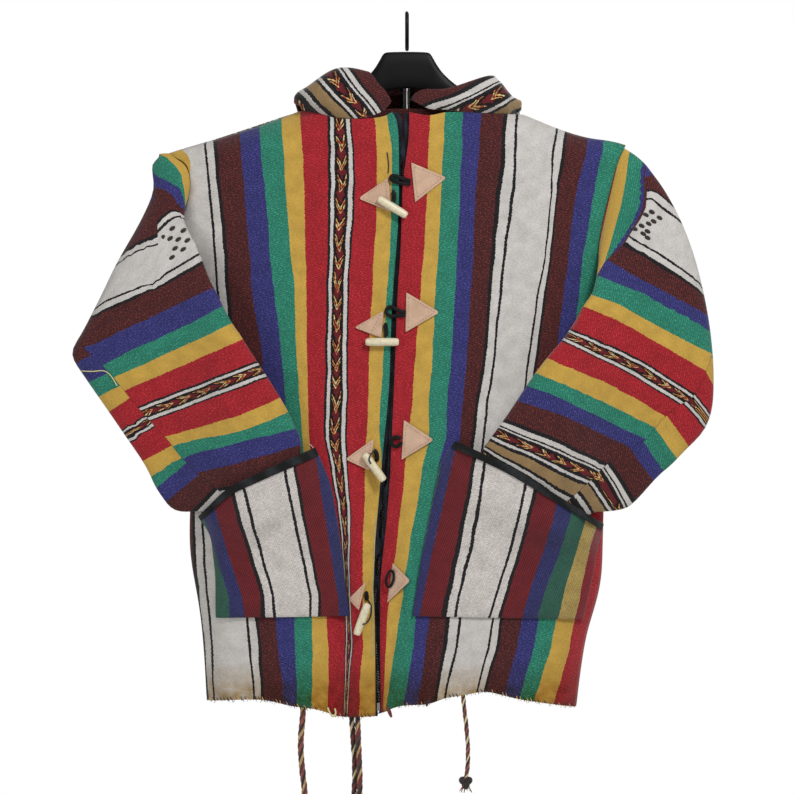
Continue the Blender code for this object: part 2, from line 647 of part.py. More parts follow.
def build_sleeve(name, start_rows, rows, loop, skin):
    seam, turned = loop
    flat = [sleeve_ring(row) for row in rows]
    for ring, sag in zip(flat, SLEEVE_SAG):
        ring[:, 2] -= [sag * nearness(k, ARM_ROWS + 1, 4) for k in range(2 * ARM_ROWS)]
    outer = [seam]
    for share, out_x, out_z, *knees in start_rows:
        blend = seam + (flat[0] - seam) * np.array((share, share ** 0.6, share))
        out_to = (out_x, blend[0][1], out_z)
        for step, reach, goal in ((0, 5, out_to), (ARM_ROWS, 3.5, knees[3:]), (FOLD_STEP, 1.6, knees[:3])):
            move = np.array(goal) - blend[step]
            for k, point in enumerate(blend):
                point += move * nearness(k, step, reach)
        outer.append(blend)
    outer = np.array(outer + flat[1:])
    thin = len(start_rows) + 7
    for _ in range(6):
        for i in range(1, len(outer) - 1):
            for k in range(2 * ARM_ROWS):
                j = (k + 1) % (2 * ARM_ROWS)
                worst = facet_depth((outer[i, k], outer[i, j], outer[i + 1, k], outer[i + 1, j]), skin,
                                    SLEEVE_CLEAR / 2)
                if worst < 0:
                    across = slice(None) if i > thin else [k, j]
                    outer[i, across, 1] += worst
                    outer[i + 1, across, 1] += worst
    normals = grid_normals(outer, wrap=True)
    if normals[5, 0, 0] * seam[0, 0] < 0:
        normals = -normals
    normals[0] = turned
    apart = np.array([2 * SEAM_GAP + 0.6 * nearness(k, ARM_ROWS - 1, 3) for k in range(2 * ARM_ROWS)])
    outer[0] = pull(outer[0], outer[1], apart[:, None])
    depths = np.full(outer.shape[:2], CLOTH)
    depths[len(start_rows) + 1:, (0, ARM_ROWS)] = CLOTH * 1.3
    depths[1:len(start_rows) + 2, FOLD_STEP + 1:ARM_ROWS + 4] = CLOTH * PRESSED
    inner = outer - normals * depths[:, :, None]
    wall(name, outer, inner, WOOL_SLEEVE, wrap=True)
    return outer, inner


def row_blend(keys, rows, at):
    """Smooth blend of rows of points by their keys, with straight ends."""
    result = np.zeros_like(rows[0])
    for k in np.ndindex(result.shape):
        table = [(key, row[k]) for key, row in zip(keys, rows)]
        result[k] = smooth(table, at)
    return result


def build_hood(name, table, seam, seam_normals, sign):
    """One half of the hood, from the neck seam over its crest and down to the pouch behind."""
    keys = [row[0] for row in table]
    rows = [np.array(row[1:], float) for row in table]
    grid = []
    for step, place in enumerate(seam):
        line = np.vstack([place, row_blend(keys, rows, step)])
        line[1] += place
        path = []
        for k in range(HOOD_STEPS + 1):
            at = k / HOOD_STEPS
            path.append([smooth([(s, p[axis]) for s, p in zip(HOOD_SPAN, line)], at) for axis in range(3)])
        grid.append(path)
    grid = np.array(grid).transpose(1, 0, 2)
    grid[-1, :, 0] = sign * SEAM_GAP
    grid[:, -1, 0] = sign * SEAM_GAP
    normals = grid_normals(grid)
    if normals[3, 3, 1] > 0:
        normals = -normals
    normals[-1, :, 0] = 0
    normals[:, -1, 0] = 0
    normals = unit(normals)
    normals[0] = seam_normals
    normals[0, -1, 0] = 0
    outer = grid.copy()
    outer[0] = pull(grid[0], grid[1], 2.5 * SEAM_GAP)
    depths = np.full(outer.shape[:2], CLOTH)
    depths[3:7, 9:13] = CLOTH * PRESSED
    depths[10:, 14:] = CLOTH * PRESSED
    wall(name, outer, outer - normals * depths[:, :, None], WOOL)


def skin_of(grids):
    """A surface for finding how far forward the cloth lies."""
    points = []
    faces = []
    for grid, wrap in grids:
        start = len(points)
        rows, columns = grid.shape[:2]
        points += [Vector(p) for p in grid.reshape(-1, 3)]
        faces += grid_faces(rows, columns, start, wrap)
    return BVHTree.FromPolygons(points, faces)


def skin_y(skin, x, z, fallback=True):
    hit = skin.ray_cast(Vector((x, -400, z)), Vector((0, 1, 0)))[0]
    if hit is None:
        return front_y(x, z) if fallback else 400.0
    return min(hit.y, front_y(x, z) + 6) if fallback else hit.y


AROUND = ((0, 0), (0, -1), (0, 1), (-1, 0), (1, 0))
FACET_SPOTS = [(a / 4, b / 4) for a in range(5) for b in range(5)]


def facet_depth(corners, skin, gap, reach=0.0):
    """How far a facet must come forward to clear a skin and what lies within reach; 0 or less."""
    worst = 0.0
    sides = ((0, 0), (reach, 0), (-reach, 0), (0, reach), (0, -reach)) if reach else ((0, 0),)
    for a, b in FACET_SPOTS:
        spot = ((corners[0] * (1 - b) + corners[1] * b) * (1 - a)
                + (corners[2] * (1 - b) + corners[3] * b) * a)
        under = min(skin_y(skin, spot[0] + dx, spot[2] + dz, fallback=False) for dx, dz in sides)
        worst = min(worst, under - gap - spot[1])
    return worst


def settle(points, skin, gap, rounds=8, sewn=False, reach=0.0):
    """Depths of a grid laid over a skin, so that no facet comes nearer than the gap.

    A sewn grid keeps its two sides and its foot where they are, and bulges by no more than the room.
    """
    rows, columns = points.shape[:2]
    start = np.pad(points[:, :, 1], 1, mode="edge")
    around = [start[1 + a:rows + 1 + a, 1 + b:columns + 1 + b] for a, b in AROUND]
    nearest = np.min(around, axis=0) - POCKET_ROOM
    for _ in range(rounds):
        for i in range(rows - 1):
            for j in range(columns - 1):
                corners = points[i, j], points[i, j + 1], points[i + 1, j], points[i + 1, j + 1]
                worst = facet_depth(corners, skin, gap, reach)
                if worst < 0:
                    for a, b in ((i, j), (i, j + 1), (i + 1, j), (i + 1, j + 1)):
                        held = b in (0, columns - 1) or a == rows - 1
                        if not (sewn and held):
                            points[a, b, 1] += worst
                        if sewn:
                            points[a, b, 1] = max(points[a, b, 1], nearest[a, b])
    return points


def snug(route, skin, radius, way):
    """Moves a cord's route along Y until its nearest point is one lay gap off the cloth."""
    for _ in range(12):
        apart = min(skin.find_nearest(Vector(point))[3] for point in route) - radius - LAY_GAP
        for point in route:
            point[1] += way * apart * 0.9
    return route


def pocket_grid(edges):
    """Places of a patch pocket, blended between its sewn sides and its slanted mouth."""
    steps = np.linspace(0, 1, POCKET_STEPS + 1)

    def along(points, share):
        run = np.linspace(0, 1, len(points))
        return np.array([np.interp(share, run, [p[k] for p in points]) for k in range(2)])

    grid = []
    for down in steps:
        line = []
        for across in steps:
            mouth = along(edges["mouth"], across)
            foot = edges["outer"][-1] + (np.array(edges["inner"][-1]) - edges["outer"][-1]) * across
            outer = along(edges["outer"], down)
            inner = along(edges["inner"], down)
            corners = (np.array(edges["outer"][0]) * (1 - across) + np.array(edges["inner"][0]) * across)
            base = mouth * (1 - down) + foot * down + outer * (1 - across) + inner * across
            base -= corners * (1 - down) + foot * down
            line.append((base[0], 0.0, base[1]))
        grid.append(line)
    return np.array(grid)


def build_pocket(side, edges, body, skin):
    """A patch pocket drawn over the front and the cuff inside it, and its mouth's binding."""
    grid = pocket_grid(edges)
    rows, columns = grid.shape[:2]
    rest = np.array([[skin_y(skin, *point[[0, 2]]) - LAY_GAP for point in line] for line in grid])
    depth = rest.copy()
    for _ in range(60):
        spread = depth.copy()
        spread[1:-1, 1:-1] = (depth[:-2, 1:-1] + depth[2:, 1:-1] + depth[1:-1, :-2] + depth[1:-1, 2:]) / 4
        spread[0, 1:-1] = (depth[0, :-2] + depth[0, 2:]) / 2
        depth = np.minimum(spread, rest)
        depth[-1] = rest[-1]
        depth[:, 0] = rest[:, 0]
        depth[:, -1] = rest[:, -1]
    grid[:, :, 1] = depth
    grid = settle(grid, body, LAY_GAP)
    grid = settle(grid, skin, LAY_GAP, 12, sewn=True, reach=4.0)
    outer = grid - np.array((0, CLOTH, 0))
    wall("pocket_" + side, outer, grid, WOOL)

    share = BINDING_WIDTH / np.linalg.norm(grid[1, columns // 2] - grid[0, columns // 2])
    lower = outer[0] + (outer[1] - outer[0]) * min(1.0, share)
    band_back = np.array([outer[0], (outer[0] + lower) / 2, lower]) - np.array((0, LAY_GAP, 0))
    band_back = settle(band_back, skin_of(((outer, False),)), LAY_GAP, reach=1.5)
    wall("binding_" + side, band_back - np.array((0, TAPE, 0)), band_back, BLACK_TAPE)


def build_patch(name, corners, skin):
    """A leather triangle laid on the front, as a fan of narrow strips that meet at the tip."""
    a, b, tip = [np.array(corner, float) for corner in corners]
    rows = []
    for k in range(PATCH_STEPS + 1):
        reach = k / PATCH_STEPS * 0.94
        one = a + (tip - a) * reach
        two = b + (tip - b) * reach
        line = [one + (two - one) * j / PATCH_STEPS for j in range(PATCH_STEPS + 1)]
        rows.append([(p[0], skin_y(skin, p[0], p[1]) - LAY_GAP, p[1]) for p in line])
    grid = settle(np.array(rows), skin, LAY_GAP)
    outer = grid - np.array((0, LEATHER, 0))
    wall(name, outer, grid, SUEDE)
    return outer


def build_toggle(name, place, skin):
    """A bone toggle: a slightly barrelled rod with rounded ends."""
    x, z, angle = place
    axis = np.array((math.cos(math.radians(angle)), 0, math.sin(math.radians(angle))))
    rest = min(skin_y(skin, x + axis[0] * s, z + axis[2] * s)
               for s in np.linspace(-TOGGLE_LENGTH / 2, TOGGLE_LENGTH / 2, 9))
    middle = np.array((x, rest - TOGGLE_RADIUS - LAY_GAP, z))
    side = np.cross(axis, (0, 1, 0))
    profile = ((-0.5, 0), (-0.5, 0.62), (-0.46, 0.86), (-0.4, 0.95), (0, 1), (0.4, 0.95), (0.46, 0.86),
               (0.5, 0.62), (0.5, 0))
    points = []
    for along, radius in profile:
        turns = 1 if radius == 0 else TOGGLE_SIDES
        for k in range(turns):
            turn = 2 * math.pi * k / TOGGLE_SIDES
            ray = side * math.cos(turn) + np.array((0, 1, 0)) * math.sin(turn)
            points.append(middle + axis * along * TOGGLE_LENGTH + ray * radius * TOGGLE_RADIUS)
    faces = []
    last = len(points) - 1
    ring = [1 + TOGGLE_SIDES * k for k in range(len(profile) - 2)]
    for k in range(TOGGLE_SIDES):
        j = (k + 1) % TOGGLE_SIDES
        faces.append((0, ring[0] + j, ring[0] + k))
        faces.append((last, ring[-1] + k, ring[-1] + j))
        for low, high in zip(ring, ring[1:]):
            faces.append((low + k, low + j, high + j, high + k))
    put_mesh(name, points, faces, BONE)


def build_hanger():
    """Plastic clothes hanger: one moulded bar, and its hook seen edge-on from the front."""
    rows = [(-x, *rest) for x, *rest in HANGER[:0:-1]] + list(HANGER)
    ridge = sorted(TOP_LEFT[:5]) + sorted(TOP_RIGHT[:5])
    ends = ((rows[0][0] - HANGER_TIP, 0.62), (rows[-1][0] + HANGER_TIP, 0.62))
    stations = [(ends[0][0], *rows[0][1:], ends[0][1])]
    stations += [(*row, 1.0) for row in rows]
    stations += [(ends[1][0], *rows[-1][1:], ends[1][1])]
    corners = ((0, 1), (0.55, 0.93), (0.95, 0.62), (1, 0.2), (1, -0.2), (0.95, -0.62), (0.55, -0.93), (0, -1))
    ring = list(corners) + [(-y, z) for y, z in corners[-2:0:-1]]
    points = []
    for x, top, bottom, deep, share in stations:
        under = smooth(ridge, x) - CLOTH - 0.6 - 0.02 * abs(x)
        high = min(top, under) if abs(x) > 120 else top
        low = high - (top - bottom)
        middle = (high + low) / 2
        tall = (high - low) / 2
        if share < 1:
            middle = high - tall * 1.1
        for y, z in ring:
            points.append((x, y * deep * share, middle + z * tall * share))
    sides = len(ring)
    faces = grid_faces(len(stations), sides, 0, wrap=True)
    faces.append(tuple(range(sides)))
    faces.append(tuple(len(points) - sides + k for k in range(sides)))
    put_mesh("hanger_bar", points, faces, HANGER_PLASTIC)

    centre_z = HOOK_RADIUS - HOOK_BEND
    stem = [(0, 0, HANGER[0][1] + 0.3), (0, 0, -41), (0, -3, -35), (0, -10.5, -25), (0, -13.6, -17)]
    bend = [(0, -HOOK_BEND * math.cos(turn), centre_z + HOOK_BEND * math.sin(turn))
            for turn in np.radians(np.arange(0, 211, 15))]
    put_cord("hanger_hook", through(stem + bend, 4.0), 2 * HOOK_RADIUS, HANGER_PLASTIC, 3)


def build_zip(pieces):
    """The two undone halves of the zip, a tape behind each front edge."""
    tapes = []
    for side in ("left", "right"):
        _, inner, normals = pieces["front_" + side]
        edge = inner[:, -1]
        beside = inner[:, -2]
        inwards = unit(beside - edge)
        room = np.linalg.norm(beside - edge, axis=1)
        back = -normals[:, -2]
        gaps = np.array([smooth(EDGE_RIGHT, z) - smooth(EDGE_LEFT, z) for z in edge[:, 2]])
        shows = np.clip(gaps / 2 - ZIP_APART / 2, 0.6, 4)[:, None]
        reach = np.minimum(ZIP_TAPE_WIDTH - 3, room * 0.9)[:, None]
        shown = edge - inwards * shows + back * LAY_GAP * 2
        middle = edge + inwards * 1.5 + back * LAY_GAP * 3
        hidden = edge + inwards * reach + back * LAY_GAP * 4
        strip = np.stack([shown, middle, hidden], axis=1)
        strip[0] += (0, 0, -1.5)
        wall("zip_tape_" + side, strip, strip + back[:, None] * TAPE, BLACK_TAPE)
        tapes.append(strip)
    return tapes


def build_front_fastenings(skin, pieces, tapes):
    """Patches, toggles and thin cords, each laid on what is below it."""
    outers = [(pieces["front_left"][0], False), (pieces["front_right"][0], False)]
    outers += [(tape, False) for tape in tapes]
    patches = {name: build_patch(name, corners, skin) for name, corners in PATCHES.items()}
    over = skin_of(outers + [(grid, False) for grid in patches.values()])
    for name, place in TOGGLES.items():
        build_toggle(name, place, over)
    for name, places in PATCH_CORDS.items():
        clear = PATCH_CORD / 2 + LAY_GAP + 0.3
        route = through([(x, 0, z) for x, z in places], 3.4)
        for point in route:
            near = [skin_y(over, point[0] + a, point[2] + b) for a in (-4, 0, 4) for b in (-3, 0, 3)]
            point[1] = min(near) - clear
        put_cord(name, snug(route, over, PATCH_CORD / 2, 1), PATCH_CORD, BLACK_CORD)


def build_hem_cords(pieces):
    """Twisted cords that hang from inside the hem, each with its knot."""
    skin = skin_of([(pieces["front_left"][1], False), (pieces["front_right"][1], False)])
    for name, (diameter, places) in HEM_CORDS.items():
        x, z = places[0]
        rest = max(skin_y(skin, x + s, z - d, fallback=False) for s in (-3, 0, 3) for d in (0, 12))
        y = rest + diameter / 2 + LAY_GAP
        route = through([(px, y + 0.03 * (z - pz), pz) for px, pz in places], diameter * 2)
        put_cord(name, snug(route, skin, diameter / 2, -1), diameter, TWISTED)


pieces, loops = build_body()
front_skin = skin_of([(pieces["front_left"][0], False), (pieces["front_right"][0], False)])
sleeve_left = build_sleeve("sleeve_left", SLEEVE_LEFT_START, SLEEVE_LEFT, loops["left"], front_skin)
sleeve_right = build_sleeve("sleeve_right", SLEEVE_RIGHT_START, SLEEVE_RIGHT, loops["right"], front_skin)

for side, table, sign in (("left", HOOD_LEFT, -1), ("right", HOOD_RIGHT, 1)):
    outer, _, normals = pieces["front_" + side]
    back_outer, _, back_normals = pieces["back"]
    front_seam = outer[0, :SHOULDER_STEPS - 1:-1]
    front_turns = normals[0, :SHOULDER_STEPS - 1:-1]
    half = back_outer.shape[1] // 2
    if side == "left":
        back_seam = back_outer[0, SHOULDER_STEPS + 1:half + 1]
        back_turns = back_normals[0, SHOULDER_STEPS + 1:half + 1]
    else:
        back_seam = back_outer[0, half:-SHOULDER_STEPS - 1][::-1]
        back_turns = back_normals[0, half:-SHOULDER_STEPS - 1][::-1]
    build_hood("hood_" + side, table, np.vstack([front_seam, back_seam]),
               np.vstack([front_turns, back_turns]), sign)

covered = skin_of([(pieces["front_left"][0], False), (pieces["front_right"][0], False),
                   (sleeve_left[0][9:], True), (sleeve_right[0][9:], True)])
build_pocket("left", POCKET_LEFT, front_skin, covered)
build_pocket("right", POCKET_RIGHT, front_skin, covered)
tapes = build_zip(pieces)
build_front_fastenings(front_skin, pieces, tapes)
build_hem_cords(pieces)
build_hanger()
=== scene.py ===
# %% [markdown]
# # A striped wool jacket, undone, on a clothes hanger
# The jacket is cut from a coarse hand-woven blanket cloth and hangs flat on a plastic hanger.
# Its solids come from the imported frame, in metres, with the hook's hanging point at the origin,
# the front facing -Y and +Z up. This lesson dresses them: cloth first gets soft folds, then its
# stripes, then the small things such as stitches, cords and toggles.

# %% Load the frame
import math
from functools import partial

import bmesh
import bpy
import numpy as np
from mathutils import Matrix, Vector, noise
from mathutils.bvhtree import BVHTree


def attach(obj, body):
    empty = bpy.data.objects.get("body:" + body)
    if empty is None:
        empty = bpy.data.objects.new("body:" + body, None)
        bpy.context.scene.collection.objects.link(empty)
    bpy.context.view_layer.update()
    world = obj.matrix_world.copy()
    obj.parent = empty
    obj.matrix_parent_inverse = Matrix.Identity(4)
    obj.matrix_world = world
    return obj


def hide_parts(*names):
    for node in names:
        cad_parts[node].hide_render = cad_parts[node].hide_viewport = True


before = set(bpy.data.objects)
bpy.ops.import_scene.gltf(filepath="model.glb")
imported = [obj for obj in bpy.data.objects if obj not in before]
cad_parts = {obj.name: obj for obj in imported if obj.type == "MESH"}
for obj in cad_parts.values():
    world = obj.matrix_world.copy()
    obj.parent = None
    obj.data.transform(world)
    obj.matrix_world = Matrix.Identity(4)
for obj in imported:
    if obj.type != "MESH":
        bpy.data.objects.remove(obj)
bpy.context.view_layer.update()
MM = 0.001

# %% [markdown]
# ## Places read on the picture
# The picture is 794 units wide and one unit is 1.25 mm on the jacket. The hanger's middle stands
# 407 units from the left, and the hook's hanging point 15 units below the top edge. One function
# turns such a place into x and z in metres, so that stripe edges can be written down as they are read.

# %% From a place on the picture to metres
UNIT = 1.25 * MM
MIDDLE = 407
HANG_ROW = 15
PICTURE = 794


def spot(across, down):
    return np.array(((across - MIDDLE) * UNIT, (HANG_ROW - down) * UNIT))


print("picture corners:", spot(0, 0).round(4), spot(PICTURE, PICTURE).round(4))

# %% [markdown]
# ## Camera
# The jacket is seen straight from the front with almost no perspective, as through a long lens far
# away. So the camera stands 12 m off, level with the picture's middle, and its lens is as long as it
# takes for 794 units to fill the frame.

# %% Put the camera in front
CAMERA_FAR = 12.0
SENSOR = 36.0
view_width = PICTURE * UNIT
centre_x, centre_z = spot(PICTURE / 2, PICTURE / 2)
camera_data = bpy.data.cameras.new("studio_camera")
camera_data.sensor_width = SENSOR
camera_data.lens = SENSOR * CAMERA_FAR / view_width
camera_data.clip_end = 60.0
camera = bpy.data.objects.new("studio_camera", camera_data)
bpy.context.collection.objects.link(camera)
camera.location = (centre_x, -CAMERA_FAR, centre_z)
camera.rotation_euler = (math.pi / 2, 0, 0)
bpy.context.scene.camera = camera
print("lens", round(camera_data.lens, 1), "mm, view", round(view_width, 4), "m wide")

# %% [markdown]
# ## Nodes and colours
# Every finish below is a small tree of shader nodes. One function adds any node, sets it and links it,
# so each material reads as a list of what feeds what. Colours are written as hex, as a colour picker
# shows them, and one function turns them into the linear light that the shader works with.

# %% Helpers for materials


def linear(hex_colour):
    channels = [int(hex_colour[k:k + 2], 16) / 255 for k in (1, 3, 5)]
    light = [c / 12.92 if c <= 0.04045 else ((c + 0.055) / 1.055) ** 2.4 for c in channels]
    return (*light, 1.0)


def add(tree, kind, *inputs, output=0, stops=(), hard=False, **settings):
    """Adds a node and returns one of its outputs. Inputs are values, or outputs to link: in order, or in
    a dict by name or number. A colour ramp also gets stops (place, colour), with hard or soft edges."""
    made = tree.nodes.new("ShaderNode" + kind)
    for key, value in settings.items():
        setattr(made, key, value)
    known = inputs[0] if inputs and isinstance(inputs[0], dict) else dict(enumerate(inputs))
    for key, value in known.items():
        if isinstance(value, bpy.types.NodeSocket):
            tree.links.new(value, made.inputs[key])
        else:
            made.inputs[key].default_value = value
    if stops:
        made.color_ramp.interpolation = "CONSTANT" if hard else "LINEAR"
        elements = made.color_ramp.elements
        while len(elements) < len(stops):
            elements.new(1.0)
        for element, (place, _) in zip(elements, stops):
            element.position = place
        for element, (_, colour) in zip(elements, stops):
            element.color = linear(colour)
    return made.outputs[output]


def start_material(name, **shader_values):
    """A material with its shader's constant values, given by socket name."""
    made = bpy.data.materials.new(name)
    made.use_nodes = True
    shader = made.node_tree.nodes["Principled BSDF"]
    for key, value in shader_values.items():
        shader.inputs[key.replace("_", " ")].default_value = value
    return made, made.node_tree, shader


def cover(tree, shader, colour, height, strength, depth):
    """Gives the shader its colour, and a height in mm that roughens the surface."""
    tree.links.new(colour, shader.inputs["Base Color"])
    raised = add(tree, "Bump", {"Height": height, "Strength": strength, "Distance": depth * MM})
    tree.links.new(raised, shader.inputs["Normal"])


print("red thread in linear light:", [round(c, 3) for c in linear("#A8202C")])

# %% [markdown]
# ## Cords at the hem
# Four cords of wool yarn hang out from inside the hem, each twisted from four strands in dark, red,
# rose, brown, tan or cream. A rope can be one tube with a painted pattern, but here its strands catch the
# light one by one, so each cord is four thin tubes that wind round one middle line. They come first,
# as they have real lengths: what shows below the hem plus the little that is hidden above it.

# %% Smooth routes and twisted strands


def through(points, spacing):
    """Evenly spaced points on a smooth curve through the given ones."""
    points = np.asarray(points, float)
    padded = np.vstack([2 * points[0] - points[1], points, 2 * points[-1] - points[-2]])
    dense = []
    for a, b, c, d in zip(padded, padded[1:], padded[2:], padded[3:]):
        for t in np.linspace(0, 1, 24, endpoint=False):
            dense.append(0.5 * (2 * b + (c - a) * t + (2 * a - 5 * b + 4 * c - d) * t ** 2
                                + (3 * b - a - 3 * c + d) * t ** 3))
    dense.append(points[-1])
    dense = np.array(dense)
    run = np.concatenate([[0], np.cumsum(np.linalg.norm(np.diff(dense, axis=0), axis=1))])
    marks = np.linspace(0, run[-1], max(3, int(round(run[-1] / spacing)) + 1))
    return np.stack([np.interp(marks, run, dense[:, k]) for k in range(3)], axis=1)


def tube_rings(route, radii, sides):
    """Rings of points round a route."""
    along = np.gradient(route, axis=0)
    along /= np.linalg.norm(along, axis=1, keepdims=True)
    side = np.cross(along, (0.3, 1.0, 0.2))
    side /= np.linalg.norm(side, axis=1, keepdims=True)
    other = np.cross(along, side)
    angles = np.arange(sides) * 2 * math.pi / sides
    rings = (route[:, None] + np.asarray(radii).reshape(-1, 1, 1)
             * (side[:, None] * np.cos(angles)[:, None] + other[:, None] * np.sin(angles)[:, None]))
    return rings, side, other


def add_tube(points, faces, route, radii, sides):
    """Adds one closed tube to lists of points and faces."""
    rings, _, _ = tube_rings(route, radii, sides)
    start = len(points)
    points += [tuple(p) for ring in rings for p in ring]
    count = len(route)
    for i in range(count - 1):
        for j in range(sides):
            k = (j + 1) % sides
            faces.append((start + i * sides + j, start + i * sides + k,
                          start + (i + 1) * sides + k, start + (i + 1) * sides + j))
    faces.append(tuple(start + j for j in reversed(range(sides))))
    faces.append(tuple(start + (count - 1) * sides + j for j in range(sides)))


def put_piece(name, points, faces, finishes, smooth=True):
    """An object from points in metres, with its faces turned outwards."""
    mesh = bpy.data.meshes.new(name)
    mesh.from_pydata([tuple(p) for p in points], [], faces)
    shape = bmesh.new()
    shape.from_mesh(mesh)
    bmesh.ops.recalc_face_normals(shape, faces=shape.faces)
    shape.to_mesh(mesh)
    shape.free()
    for finish in finishes:
        mesh.materials.append(finish)
    mesh.polygons.foreach_set("use_smooth", [smooth] * len(mesh.polygons))
    made = bpy.data.objects.new(name, mesh)
    bpy.context.collection.objects.link(made)
    return made


def strand_routes(route, radius, strands, pitch):
    """Routes of the strands that wind round a middle line, one turn in each pitch."""
    _, side, other = tube_rings(route, np.ones(len(route)), 4)
    run = np.concatenate([[0], np.cumsum(np.linalg.norm(np.diff(route, axis=0), axis=1))])
    found = []
    for k in range(strands):
        turn = 2 * math.pi * (run / pitch + k / strands)
        found.append(route + radius * (side * np.cos(turn)[:, None] + other * np.sin(turn)[:, None]))
    return found


bend = through([(0, 0, 0), (1, 0, 1), (2, 0, 0)], 0.1)
print("three points give a curve of", len(bend), "points")

# %% [markdown]
# The yarn is loosely spun carpet wool. Its fibres make a matt, slightly hairy surface, so each
# strand has no gloss, a faint sheen and fine slanted streaks in its colour.

# %% Yarn finishes
YARN_COLOURS = {
    "dark": ("#150E10", "#26150F"), "red": ("#4E141A", "#74241F"), "cream": ("#BFA67C", "#D6C4A0"),
    "gold": ("#B08A3A", "#CDAA58"), "rose": ("#64282A", "#96503E"), "tan": ("#94703F", "#BF9C6C"),
    "brown": ("#3A1E16", "#5C3020"), "white": ("#C9C4BC", "#DCD8D0"),
}
# streaks to the metre across and along the fibres, which are about 1 mm and 5 mm; and their slant
STREAKS = (900, 900, 220)
FIBRE_SLANT = 0.9


def spun_yarn(name, low, high):
    made, tree, shader = start_material(name, Roughness=0.95, Sheen_Weight=0.2, Sheen_Roughness=0.6)
    turned = add(tree, "Mapping", {"Vector": add(tree, "TexCoord", output="Object"),
                                   "Rotation": (0.0, FIBRE_SLANT, 0.0), "Scale": STREAKS})
    streak = add(tree, "TexNoise", {"Vector": turned, "Scale": 1.0, "Detail": 2.0})
    cover(tree, shader, add(tree, "ValToRGB", streak, stops=((0.35, low), (0.65, high))), streak, 0.5, 0.4)
    return made


yarns = {key: spun_yarn("spun_wool_" + key, *pair) for key, pair in YARN_COLOURS.items()}
print("yarns:", sorted(yarns))

# %% [markdown]
# Each cord ends in a pulled overhand knot. A real one is the cord's own loop drawn tight, so it is a
# three-lobed loop of tube, and the strands' loose ends stick out below it as a small tuft.

# %% A pulled knot
KNOT_POINTS = 40
TUFT = 6


def overhand_knot(name, place, radius, yarn_names):
    points, faces = [], []
    turns = np.linspace(0, 2 * math.pi, KNOT_POINTS)
    loop = np.stack([np.sin(turns) + 1.6 * np.sin(2 * turns), 0.9 * np.sin(3 * turns),
                     np.cos(turns) - 1.6 * np.cos(2 * turns)], axis=1)
    add_tube(points, faces, place + loop * radius * 0.62, np.full(KNOT_POINTS, radius * 0.72), 8)
    marks = [len(faces)]
    for k in range(TUFT):
        turn = 2 * math.pi * k / TUFT + 0.4
        foot = np.array((math.cos(turn), math.sin(turn), 0)) * radius * 0.8
        end = foot * 2.1 + np.array((0.4 * math.sin(5 * turn), 0, -3.0 - 0.6 * math.cos(3 * turn))) * radius
        route = through([place + foot * 0.3, place + foot + (0, 0, -radius), place + end], radius * 0.4)
        add_tube(points, faces, route, np.linspace(0.34, 0.12, len(route)) * radius, 5)
        marks.append(len(faces))
    knot = put_piece(name, points, faces, [yarns[key] for key in yarn_names])
    for number_of, (low, high) in enumerate(zip(marks, marks[1:])):
        for face in range(low, high):
            knot.data.polygons[face].material_index = number_of % len(yarn_names)
    return knot


print("a knot has", KNOT_POINTS, "rings and", TUFT, "loose ends")

# %% The four hem cords
# name: diameter, depth y of its top, the knot's size, its strands' yarns, then x and z along it, in mm
HEM_CORDS = {
    "hem_cord_1": (7.5, -49.06, 0.8, ("dark", "rose", "brown", "tan"),
                   ((-129, -848), (-130, -880), (-132, -905), (-131, -935), (-128, -965), (-128, -990))),
    "hem_cord_2": (7.0, -40.20, 0.8, ("dark", "cream", "dark", "red"),
                   ((-70, -856), (-68, -888), (-66, -915), (-65, -945), (-66, -975), (-65, -1000))),
    "hem_cord_3": (7.0, -48.33, 0.8, ("red", "tan", "dark", "brown"),
                   ((-62, -857), (-61, -888), (-60, -915), (-59, -945), (-59, -975), (-58, -996))),
    "hem_cord_4": (5.4, -50.03, 1.5, ("dark", "cream", "brown", "rose"),
                   ((69, -834), (71, -862), (74, -890), (76, -915), (75, -940), (73, -954))),
}
# how far a cord leans back as it hangs, for each metre, and one turn of its strands in diameters
LEAN = 0.03
PITCH = 4.4

for name, (diameter, top_y, knot_size, strand_names, places) in HEM_CORDS.items():
    top_z = places[0][1]
    route = through([(x, top_y + LEAN * (top_z - z), z) for x, z in places], 2.0) * MM
    points, faces, counts = [], [], []
    thick = diameter / 2 * MM
    strands = strand_routes(route, thick * 0.52, len(strand_names), diameter * PITCH * MM)
    for number_of, (strand, key) in enumerate(zip(strands, strand_names)):
        swelling = 1 + 0.16 * np.sin(np.arange(len(strand)) * 0.31 + 2.1 * number_of)
        slim = 0.46 if key in ("cream", "tan") else 0.54
        add_tube(points, faces, strand, thick * slim * swelling, 9)
        counts.append(len(faces))
    cord = put_piece(name + "_rope", points, faces, [yarns[key] for key in strand_names])
    index = np.searchsorted(counts, np.arange(len(faces)), side="right")
    cord.data.polygons.foreach_set("material_index", index.astype(np.int32))
    knot_place = route[-1] + np.array((0, 0, -2 * knot_size * MM))
    knot = overhand_knot(name + "_knot", knot_place, thick * knot_size, strand_names)
    for piece in (cord, knot):
        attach(piece, "root")
    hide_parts(name)

# %% [markdown]
# ## Soft copies of the cloth
# The solids of the fronts, back, sleeves, hood and pockets have the right form but large flat facets.
# A copy of each is merged, its triangles are joined into four-sided faces, and a Subdivision Surface
# rounds it. The edges of the cloth's thin rim are marked as creases first, or they would shrink away.

# %% Soften a copy of a CAD solid
RIM = 3.6 * MM
STEEP = math.radians(62)


